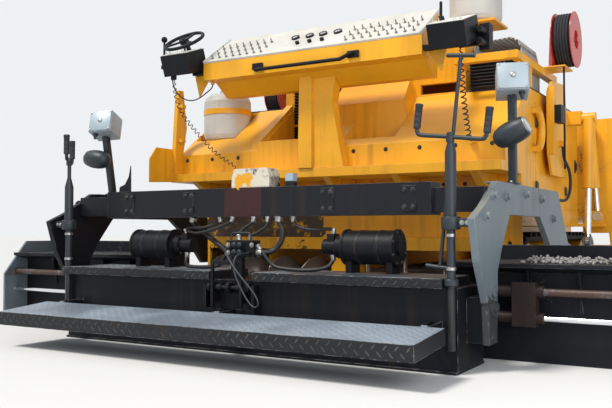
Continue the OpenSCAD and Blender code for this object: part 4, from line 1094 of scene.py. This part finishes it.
def make_posts():
    """Control boxes and lamp heads on their posts, with covers, screws and glands."""
    black, boxes, heads, lenses, metal = (bmesh.new() for _ in range(5))
    for side, foot, lean, height, tip, swing, droop in POSTS:
        base = Matrix.Translation(spot(side * POST_X, foot, ARCH_TOP)) @ mirror(side)
        slab(black, (-0.036, -0.050, SEAT), (0.036, 0.050, 0.012), base, 0.002)
        for y in (-0.040, 0.040):
            hex_head(metal, base @ Vector((0, y, 0.012)), UP, 0.008, 0.008)
        up = base @ shift(0, 0, 0.010) @ turn(lean, "X")
        reach = height - ARCH_TOP
        slab(black, (-0.024, -0.024, 0), (0.024, 0.024, reach), up, 0.004)
        head = up @ shift(0, 0, reach) @ turn(swing, "Z") @ turn(-tip, "X")
        slab(boxes, (-0.098, -0.088, -0.060), (0.098, 0.095, BOX_TOP), head, 0.006, 3)
        slab(boxes, (-0.092, BOX_REAR, -0.054), (0.092, -0.0878, 0.116), head, 0.003)
        rear, top = heading(head, BACK), heading(head, UP)
        for x in (-0.080, 0.080):
            for z in (-0.042, 0.104):
                hex_head(metal, head @ Vector((x, BOX_REAR, z)), rear, 0.0055, 0.005)
        for x in (-0.045, 0.045):
            turned_part(metal, TOGGLE, head @ Vector((x, -0.02, BOX_TOP)), top, 14)
        turned_part(metal, BUTTON, head @ Vector((0, BOX_REAR, 0.035)), rear, 20)
        turned_part(black, GLAND, head @ Vector((0.055, -0.045, -0.060)), -top, 18)
        slab(black, (-0.018, -0.060, 0.270), (0.018, -0.020, 0.322), up, 0.003)
        lamp = up @ shift(0.020, -0.098, 0.298) @ turn(-droop, "Y")
        along = heading(lamp, (1, 0, 0))
        for mesh, outline in ((heads, LAMP), (metal, LAMP_RIM), (lenses, LAMP_GLASS)):
            turned_part(mesh, outline, lamp.translation, along, 36)
    first = finished(black, "post_stems", "screed", "black_fittings")
    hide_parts("control_posts")
    finished(boxes, "post_boxes", "screed", "box_metal")
    finished(heads, "post_lamps", "screed", "black_fittings")
    finished(lenses, "post_lenses", "screed", "lamp_lens")
    finished(metal, "post_screws", "screed", "fitting_steel")


# Side, turn and tilt of the handle, and height where the shaft thins, of the two cranks
CRANKS = [(-1, 132, 0, 1.12), (1, 0, 7, 1.23)]
CRANK_X, CRANK_Y, CRANK_TOP, CRANK_REACH = 1.5, 0.59, 1.315, 0.205
CRANK_THREAD = [(0, 0.134), (0.019, 0.134), (0.022, 0.14), (0.022, 0.492), (0, 0.492)]
CRANK_HUB = [
    (0, -0.032), (0.02, -0.032), (0.023, -0.028), (0.023, 0.02), (0.018, 0.026), (0, 0.026),
]
GRIP = [
    (0, 0.034), (0.018, 0.034), (0.021, 0.038), (0.021, 0.06), (0.0195, 0.063), (0.021, 0.066),
    (0.021, 0.09), (0.0195, 0.093), (0.021, 0.096), (0.021, 0.12), (0.0195, 0.123),
    (0.021, 0.126), (0.021, 0.158), (0.023, 0.162), (0.023, 0.17), (0.018, 0.176), (0, 0.178),
]

# The left half of a crank's bar, as its share of the reach and its height
HALF_BAR = [(-1, 0.12), (-1, 0.045), (-0.97, 0.014), (-0.86, 0), (-0.4, 0)]

TEE_HEIGHT = 1.19
TEE_REACH = 0.0825


def make_cranks():
    """The two depth cranks with threaded feet and rubber grips, and the loose tee bar."""
    black, thread, grips, metal = (bmesh.new() for _ in range(4))
    bar = [*HALF_BAR, (0, 0), *((-x, z) for x, z in reversed(HALF_BAR))]
    for side, swing, tilt, neck in CRANKS:
        foot = spot(side * CRANK_X, CRANK_Y, 0)
        shaft = [
            (0, 0.49), (0.038, 0.49), (0.041, 0.494), (0.041, 0.524), (0.038, 0.528),
            (0.024, 0.53), (0.024, 0.8), (0.05, 0.802), (0.053, 0.808), (0.053, 0.866),
            (0.05, 0.872), (0.032, 0.875), (0.032, neck), (0.014, neck + 0.07),
            (0.014, CRANK_TOP), (0, CRANK_TOP),
        ]
        turned_part(black, shaft, foot, UP, 32)
        turned_part(thread, CRANK_THREAD, foot, UP, 28)
        for z in (0.575, 0.760):
            collar = [(0.0242, z), (0.029, z + 0.002), (0.029, z + 0.018), (0.0242, z + 0.020)]
            turned_part(metal, [*collar, collar[0]], foot, UP, 28)
        low = spot(CRANK_X + 0.045, CRANK_Y - 0.020, 0.815)
        slab(black, low, spot(1.6197, CRANK_Y + 0.020, 0.865), mirror(side), 0.003)
        for x in (1.570, 1.600):
            hex_head(metal, spot(side * x, CRANK_Y - 0.020, 0.840), BACK, 0.009, 0.010)
        place = Matrix.Translation(spot(side * CRANK_X, CRANK_Y, CRANK_TOP))
        place = place @ turn(swing, "Z") @ turn(tilt, "Y")
        up = heading(place, UP)
        turned_part(black, CRANK_HUB, place.translation, up, 28)
        pipe(black, [place @ Vector((x * CRANK_REACH, 0, z)) for x, z in bar], 0.0125, 14)
        for end in (-CRANK_REACH, CRANK_REACH):
            turned_part(grips, GRIP, place @ Vector((end, 0, 0)), up, 24)
    tee = Matrix.Translation(spot(1.418, CRANK_Y + 0.0433, 0.590)) @ turn(6.3, "Y")
    pipe(black, [tee @ Vector((0, 0, z)) for z in (0, 0.6, TEE_HEIGHT)], 0.011, 14, 2)
    for z in (0, TEE_HEIGHT):
        ends = [tee @ Vector((x, 0, z)) for x in (-TEE_REACH, 0, TEE_REACH)]
        pipe(black, ends, 0.0128, 14, 2)
    first = finished(black, "crank_shafts", "screed", "black_fittings")
    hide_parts("depth_cranks")
    finished(thread, "crank_threads", "screed", "threaded_steel")
    finished(grips, "crank_grips", "screed", "grip_rubber")
    finished(metal, "crank_collars", "screed", "fitting_steel")


# Radius and route of the stiff lines between the beam, the drums' motors, the valve block
# and the shelf
LINES = [
    (0.02, [
        (-0.56, 0.9, 0.8895), (-0.56, 0.9, 0.85), (-0.44, 0.9, 0.765), (-0.265, 0.885, 0.66),
        (-0.175, 0.85, 0.595), (-0.175, 0.85, 0.5305),
    ]),
    (0.011, [
        (-0.6, 0.88, 0.7755), (-0.6, 0.88, 0.8), (-0.57, 0.86, 0.815), (-0.42, 0.82, 0.815),
        (-0.31, 0.83, 0.84), (-0.27, 0.83, 0.865), (-0.27, 0.83, 0.8895),
    ]),
    (0.01, [
        (-0.585, 0.86, 0.7755), (-0.585, 0.855, 0.79), (-0.45, 0.805, 0.778), (-0.3, 0.8, 0.805),
        (-0.16, 0.8, 0.855), (-0.14, 0.805, 0.8895),
    ]),
    (0.018, [
        (0.215, 0.83, 0.8895), (0.215, 0.83, 0.86), (0.245, 0.83, 0.8), (0.235, 0.83, 0.725),
        (0.185, 0.815, 0.665), (0.13, 0.77, 0.65), (0.0903, 0.765, 0.65),
    ]),
    (0.011, [
        (0.33, 0.83, 0.8895), (0.33, 0.83, 0.86), (0.36, 0.83, 0.825), (0.45, 0.84, 0.802),
        (0.56, 0.87, 0.805), (0.6, 0.88, 0.8), (0.6, 0.88, 0.7755),
    ]),
    (0.013, [
        (-0.6, 0.88, 0.638), (-0.6, 0.875, 0.605), (-0.58, 0.84, 0.565), (-0.5, 0.79, 0.5435),
        (-0.35, 0.77, 0.5435), (-0.23, 0.765, 0.56), (-0.17, 0.765, 0.63), (-0.1353, 0.765, 0.655),
    ]),
    (0.013, [
        (0.6, 0.88, 0.638), (0.6, 0.875, 0.605), (0.58, 0.84, 0.565), (0.5, 0.79, 0.5435),
        (0.35, 0.77, 0.5435), (0.22, 0.765, 0.565), (0.14, 0.765, 0.64), (0.0903, 0.765, 0.695),
    ]),
    (0.012, [
        (-0.07, 0.775, 0.7303), (-0.07, 0.78, 0.77), (-0.04, 0.795, 0.81), (0.02, 0.805, 0.85),
        (0.03, 0.81, 0.8895),
    ]),
    (0.01, [
        (0.03, 0.775, 0.7303), (0.03, 0.78, 0.76), (0.085, 0.795, 0.79), (0.135, 0.805, 0.83),
        (0.14, 0.81, 0.8895),
    ]),
]

# The swaged ends of a line, as (share of its radius, height)
SLEEVE = [
    (1.02, SEAT), (1.7, SEAT), (1.7, 0.01), (1.35, 0.011), (1.35, 0.034), (1.15, 0.038),
    (1.02, 0.038), (1.02, SEAT),
]

# The valve block's rear face, its guard bar and one of its spools' coils
VALVE_REAR = 0.72
VALVE_BAR = [
    (-0.105, 0.7303), (-0.105, 0.76), (-0.095, 0.776), (-0.07, 0.78), (0.02, 0.78),
    (0.042, 0.776), (0.052, 0.76), (0.052, 0.7303),
]
COIL = [
    (0, SEAT), (0.013, SEAT), (0.013, 0.006), (0.018, 0.008), (0.018, 0.04), (0.013, 0.043),
    (0.007, 0.045), (0.007, 0.052), (0, 0.052),
]


def make_lines():
    """Stiff lines with swaged ends, and the valve block's spools and guard bar."""
    black, metal, valve = (bmesh.new() for _ in range(3))
    for radius, route in LINES:
        frames = pipe(black, [spot(*point) for point in route], radius, 14, 8)
        sleeve = [(radius * share, height) for share, height in SLEEVE]
        for end, way in ((frames[0], 1), (frames[-1], -1)):
            turned_part(metal, sleeve, end.translation, heading(end, (0, 0, way)), 18)
    pipe(valve, [spot(x, 0.742, z) for x, z in VALVE_BAR], 0.007, 12)
    for x, z in ((-0.045, 0.7), (-0.002, 0.7), (-0.045, 0.652), (-0.002, 0.652)):
        turned_part(valve, COIL, spot(x, VALVE_REAR, z), BACK, 20)
    for x, z in ((-0.118, 0.7), (-0.118, 0.648), (0.074, 0.7)):
        hex_head(metal, spot(x, VALVE_REAR, z), BACK, 0.011, 0.012)
    finished(black, "shelf_lines", "screed", "hose_black")
    finished(metal, "line_fittings", "screed", "fitting_steel")
    finished(valve, "valve_spools", "screed", "black_fittings")


UPRIGHT = turn(90, "X")

# Place of the drums' axis, and a band round a drum
DRUM_Y, DRUM_Z = 0.88, 0.69
DRUM_BAND = [(0.1073, 0), (0.1098, 0.001), (0.1098, 0.021), (0.1073, 0.022), (0.1073, 0)]

# Distance from the middle, bolt circle, facing, and share of the bolt size of a drum's bolts
DRUM_BOLTS = [(1.06, 0.1, 1, 0.75, 0.8), (0.64, 0.062, -1, 0.55, 0.6)]
FIN = [(0, 0), (0.12, 0), (0.117, 0.205), (0.098, 0.12), (0.06, 0.062), (0.005, 0.042)]


def make_beam_trim():
    """Bolts on the beam's pads and the drums, bands round the drums and the beam's fin."""
    bolts, bands = bmesh.new(), bmesh.new()
    size = bpy.context.scene.paver_sizes.bolt
    for pad in (-1.12, -0.56, 0.56, 1.12):
        for x in (pad + 0.018, pad + 0.072):
            for z in (0.935, 1.040):
                hex_head(bolts, spot(x, 0.782, z), BACK, size, size)
    for side in (-1, 1):
        for k in range(8):
            angle = math.radians(22.5 + 45 * k)
            for x, radius, way, wide, tall in DRUM_BOLTS:
                y = DRUM_Y + radius * math.cos(angle)
                z = DRUM_Z + radius * math.sin(angle)
                axis = (side * way, 0, 0)
                hex_head(bolts, spot(side * x, y, z), axis, size * wide, size * tall)
        for x in (0.8, 0.94):
            turned_part(bands, DRUM_BAND, spot(side * x, DRUM_Y, DRUM_Z), (side, 0, 0), 48)
    plate(bands, FIN, 0.010, Matrix.Translation(spot(-1.285, 0.900, 1.0852)) @ UPRIGHT, 0.001)
    finished(bolts, "beam_bolts", "screed", "threaded_steel")
    finished(bands, "drum_bands", "screed", "beam_black")


# The skirts' rear face, their outer and lower edges and their outline
SKIRT_REAR = 4.3048
SKIRT_SIDE = 1.905
SKIRT_FOOT = 0.56
SKIRT = [
    (1.462, 0.77), (1.7, 0.77), (1.72, SKIRT_FOOT), (SKIRT_SIDE, SKIRT_FOOT),
    (SKIRT_SIDE, 1.82), (1.865, 1.86), (1.6, 1.86), (1.6, 0.935), (1.462, 0.91),
]


def make_wing_skirts():
    """The plates that close the hopper's rear corners, with a turned edge."""
    inner = SKIRT_SIDE - 0.006
    for side, name in ((-1, "left"), (1, "right")):
        mesh = bmesh.new()
        flip = mirror(side)
        place = flip @ Matrix.Translation(spot(0, SKIRT_REAR, 0)) @ UPRIGHT
        plate(mesh, SKIRT, 0.006, place, 0.001)
        for low, high in (
            ((inner, SKIRT_REAR, SKIRT_FOOT), (SKIRT_SIDE, 4.350, 1.815)),
            ((1.722, SKIRT_REAR, SKIRT_FOOT), (inner, 4.345, SKIRT_FOOT + 0.006)),
            ((1.695, SKIRT_REAR, 1.0), (inner, 4.335, 1.006)),
            ((1.695, SKIRT_REAR, 1.4), (inner, 4.335, 1.406)),
        ):
            slab(mesh, spot(*low), spot(*high), flip, 0.001)
        finished(mesh, "wing_skirt_" + name, "wing_" + name, "hopper_yellow")


# Y, height and count of the rows of bolts, and the reach of a row from the middle
BOLT_ROWS = [(2.2, 0.7, 17), (2.2, 1.15, 17), (1.8, 1.405, 11)]
ROW_REACH = 1.36


def make_body_bolts():
    """Bolt heads along the rear wall's panels and the face above the ledge."""
    bolts = bmesh.new()
    size = bpy.context.scene.paver_sizes.bolt
    for y, z, count in BOLT_ROWS:
        for i in range(count):
            x = -ROW_REACH + 2 * ROW_REACH * i / (count - 1)
            in_pocket = y < 2 and -0.72 < x < -0.06
            if not in_pocket:
                hex_head(bolts, spot(x, y, z), BACK, size, size * 0.8)
    finished(bolts, "body_bolts", "tractor", "threaded_steel")


DECK_TOP = 0.6003
DECK_RIDGE = 1.4


def make_stones():
    """Loose stones of mix on the right extension's deck, piled up along its middle."""
    heap = random.Random(11)
    part = bmesh.new()
    for _ in range(bpy.context.scene.paver_sizes.stones):
        radius = heap.uniform(0.006, 0.014)
        x = heap.uniform(1.72, 2.70)
        y = min(1.650, max(1.125, heap.gauss(1.380, 0.110)))
        near = max(0.0, 1 - abs(y - DECK_RIDGE) / 0.16)
        z = DECK_TOP + radius * 0.75 + heap.random() * 0.030 * near
        angle = heap.uniform(0, 6.3)
        axis = Vector((heap.random(), heap.random(), 1)).normalized()
        shape = Matrix.Diagonal((1, heap.uniform(0.65, 1), heap.uniform(0.5, 0.85), 1))
        place = Matrix.Translation(spot(x, y, z)) @ Matrix.Rotation(angle, 4, axis) @ shape
        bmesh.ops.create_icosphere(part, subdivisions=1, radius=radius, matrix=place)
    finished(part, "deck_stones", "extension_right", "stone_grey", False)


# Stage

# Directions towards the sun and the soft light, and the places of that light and the camera
SUN = (-0.42, -0.72, 1.30)
FILL, FILL_PLACE = (6.5, -5.5, 2.4), (6.5, -7.5, 3.5)
CAMERA_PLACE = (3.014, -6.912, 0.80)
CAMERA_TIP, CAMERA_TURN = 91.9, 30.8


def add_light(name, kind, source, place, **settings):
    """Adds a light that shines from the direction of its source."""
    light = bpy.data.lights.new(name, kind)
    for option, value in settings.items():
        setattr(light, option, value)
    holder = bpy.data.objects.new(name, light)
    holder.location = place
    holder.rotation_euler = Vector(source).to_track_quat("Z", "Y").to_euler()
    bpy.context.scene.collection.objects.link(holder)


def make_floor():
    bpy.ops.mesh.primitive_plane_add(size=160)
    floor = bpy.context.object
    floor.name = "floor"
    material, _, shader = new_material("floor_pale")
    shader.inputs["Base Color"].default_value = (0.74, 0.74, 0.73, 1)
    shader.inputs["Roughness"].default_value = 0.9
    floor.data.materials.append(material)


def make_sky():
    """Soft light from all sides, with a plain backdrop where it is seen."""
    world = bpy.data.worlds.new("studio")
    world.use_nodes = True
    bpy.context.scene.world = world
    tree = world.node_tree
    tree.nodes.clear()
    output = tree.nodes.new("ShaderNodeOutputWorld")
    ray = put(tree, "ShaderNodeLightPath").outputs
    seen = calc(tree, "MAXIMUM", ray["Is Camera Ray"], ray["Is Glossy Ray"])
    seen = calc(tree, "MAXIMUM", seen, ray["Is Transmission Ray"])
    soft = put(tree, "ShaderNodeBackground", {"Color": (0.80, 0.86, 0.95, 1), "Strength": 0.46})
    plain = put(tree, "ShaderNodeBackground", {"Color": (0.86, 0.88, 0.90, 1), "Strength": 1.0})
    both = put(tree, "ShaderNodeMixShader", {0: seen, 1: soft.outputs[0], 2: plain.outputs[0]})
    tree.links.new(both.outputs[0], output.inputs["Surface"])


def make_stage():
    """Plain floor, soft light and the camera."""
    scene = bpy.context.scene
    scene.view_settings.view_transform = "Standard"
    make_floor()
    make_sky()
    warm = (1.0, 0.965, 0.90)
    add_light("key", "SUN", SUN, (0, 0, 0), energy=2.9, angle=math.radians(14), color=warm)
    add_light("fill", "AREA", FILL, FILL_PLACE, energy=330, size=6)
    camera = bpy.data.cameras.new("camera")
    camera.lens = 45.8
    camera.sensor_width = 36
    holder = bpy.data.objects.new("camera", camera)
    holder.location = CAMERA_PLACE
    holder.rotation_euler = (math.radians(CAMERA_TIP), 0, math.radians(CAMERA_TURN))
    scene.collection.objects.link(holder)
    scene.camera = holder


# Operators


class PAVER_OT_stage(bpy.types.Operator):
    """Add the floor, the light and the camera"""

    bl_idname = "paver.stage"
    bl_label = "Stage"

    def execute(self, context):
        make_stage()
        return {"FINISHED"}


class PAVER_OT_finishes(bpy.types.Operator):
    """Give every part its finish"""

    bl_idname = "paver.finishes"
    bl_label = "Finishes"

    def execute(self, context):
        build_edge_wear()
        build_dust()
        build_streaks()
        build_tread()
        build_crumbs()
        build_coat()
        finish_cad()
        return {"FINISHED"}


class PAVER_OT_cords(bpy.types.Operator):
    """Lay the cables and hoses"""

    bl_idname = "paver.cords"
    bl_label = "Cords"

    def execute(self, context):
        make_cords()
        return {"FINISHED"}


class PAVER_OT_dials(bpy.types.Operator):
    """Add the dials of the switch panel"""

    bl_idname = "paver.dials"
    bl_label = "Dials"

    def execute(self, context):
        make_dials()
        return {"FINISHED"}


class PAVER_OT_stations(bpy.types.Operator):
    """Add the cover plates and knobs of the two stations"""

    bl_idname = "paver.stations"
    bl_label = "Station tops"

    def execute(self, context):
        make_station_tops()
        return {"FINISHED"}


class PAVER_OT_reel_wraps(bpy.types.Operator):
    """Wind hose on the reels"""

    bl_idname = "paver.reel_wraps"
    bl_label = "Reel wraps"

    def execute(self, context):
        make_reel_wraps()
        return {"FINISHED"}


class PAVER_OT_door_fittings(bpy.types.Operator):
    """Add handles and hinges to the side doors"""

    bl_idname = "paver.door_fittings"
    bl_label = "Door fittings"

    def execute(self, context):
        make_door_fittings()
        return {"FINISHED"}


class PAVER_OT_posts(bpy.types.Operator):
    """Replace the control posts with detailed ones"""

    bl_idname = "paver.posts"
    bl_label = "Posts"

    def execute(self, context):
        make_posts()
        return {"FINISHED"}


class PAVER_OT_cranks(bpy.types.Operator):
    """Replace the depth cranks with detailed ones"""

    bl_idname = "paver.cranks"
    bl_label = "Cranks"

    def execute(self, context):
        make_cranks()
        return {"FINISHED"}


class PAVER_OT_lines(bpy.types.Operator):
    """Add the stiff lines over the shelf"""

    bl_idname = "paver.lines"
    bl_label = "Stiff lines"

    def execute(self, context):
        make_lines()
        return {"FINISHED"}


class PAVER_OT_beam_trim(bpy.types.Operator):
    """Add bolts and bands to the beam and the drums"""

    bl_idname = "paver.beam_trim"
    bl_label = "Beam trim"

    def execute(self, context):
        make_beam_trim()
        return {"FINISHED"}


class PAVER_OT_wing_skirts(bpy.types.Operator):
    """Add the plates at the rear of the wings"""

    bl_idname = "paver.wing_skirts"
    bl_label = "Wing skirts"

    def execute(self, context):
        make_wing_skirts()
        return {"FINISHED"}


class PAVER_OT_body_bolts(bpy.types.Operator):
    """Add bolt heads to the body"""

    bl_idname = "paver.body_bolts"
    bl_label = "Body bolts"

    def execute(self, context):
        make_body_bolts()
        return {"FINISHED"}


class PAVER_OT_stones(bpy.types.Operator):
    """Scatter stones on the deck"""

    bl_idname = "paver.stones"
    bl_label = "Stones"

    def execute(self, context):
        make_stones()
        return {"FINISHED"}


STEPS = [
    PAVER_OT_stage,
    PAVER_OT_finishes,
    PAVER_OT_cords,
    PAVER_OT_dials,
    PAVER_OT_stations,
    PAVER_OT_reel_wraps,
    PAVER_OT_door_fittings,
    PAVER_OT_posts,
    PAVER_OT_cranks,
    PAVER_OT_lines,
    PAVER_OT_beam_trim,
    PAVER_OT_wing_skirts,
    PAVER_OT_body_bolts,
    PAVER_OT_stones,
]


class PAVER_PT_dressing(bpy.types.Panel):
    """Lists the steps in their order"""

    bl_label = "Paver"
    bl_idname = "PAVER_PT_dressing"
    bl_space_type = "VIEW_3D"
    bl_region_type = "UI"
    bl_category = "Paver"

    def draw(self, context):
        for step in STEPS:
            self.layout.operator(step.bl_idname)
        for group in (context.scene.paver_colours, context.scene.paver_sizes):
            for name in group.bl_rna.properties.keys():
                if name not in ("rna_type", "name"):
                    self.layout.prop(group, name)


CLASSES = [PaverColours, PaverSizes, *STEPS, PAVER_PT_dressing]


def register():
    for kind in CLASSES:
        bpy.utils.register_class(kind)
    bpy.types.Scene.paver_colours = PointerProperty(type=PaverColours)
    bpy.types.Scene.paver_sizes = PointerProperty(type=PaverSizes)


def unregister():
    del bpy.types.Scene.paver_sizes
    del bpy.types.Scene.paver_colours
    for kind in reversed(CLASSES):
        bpy.utils.unregister_class(kind)


def main():
    register()
    for step in STEPS:
        group, name = step.bl_idname.split(".")
        getattr(getattr(bpy.ops, group), name)()


if __name__ == "__main__":
    main()
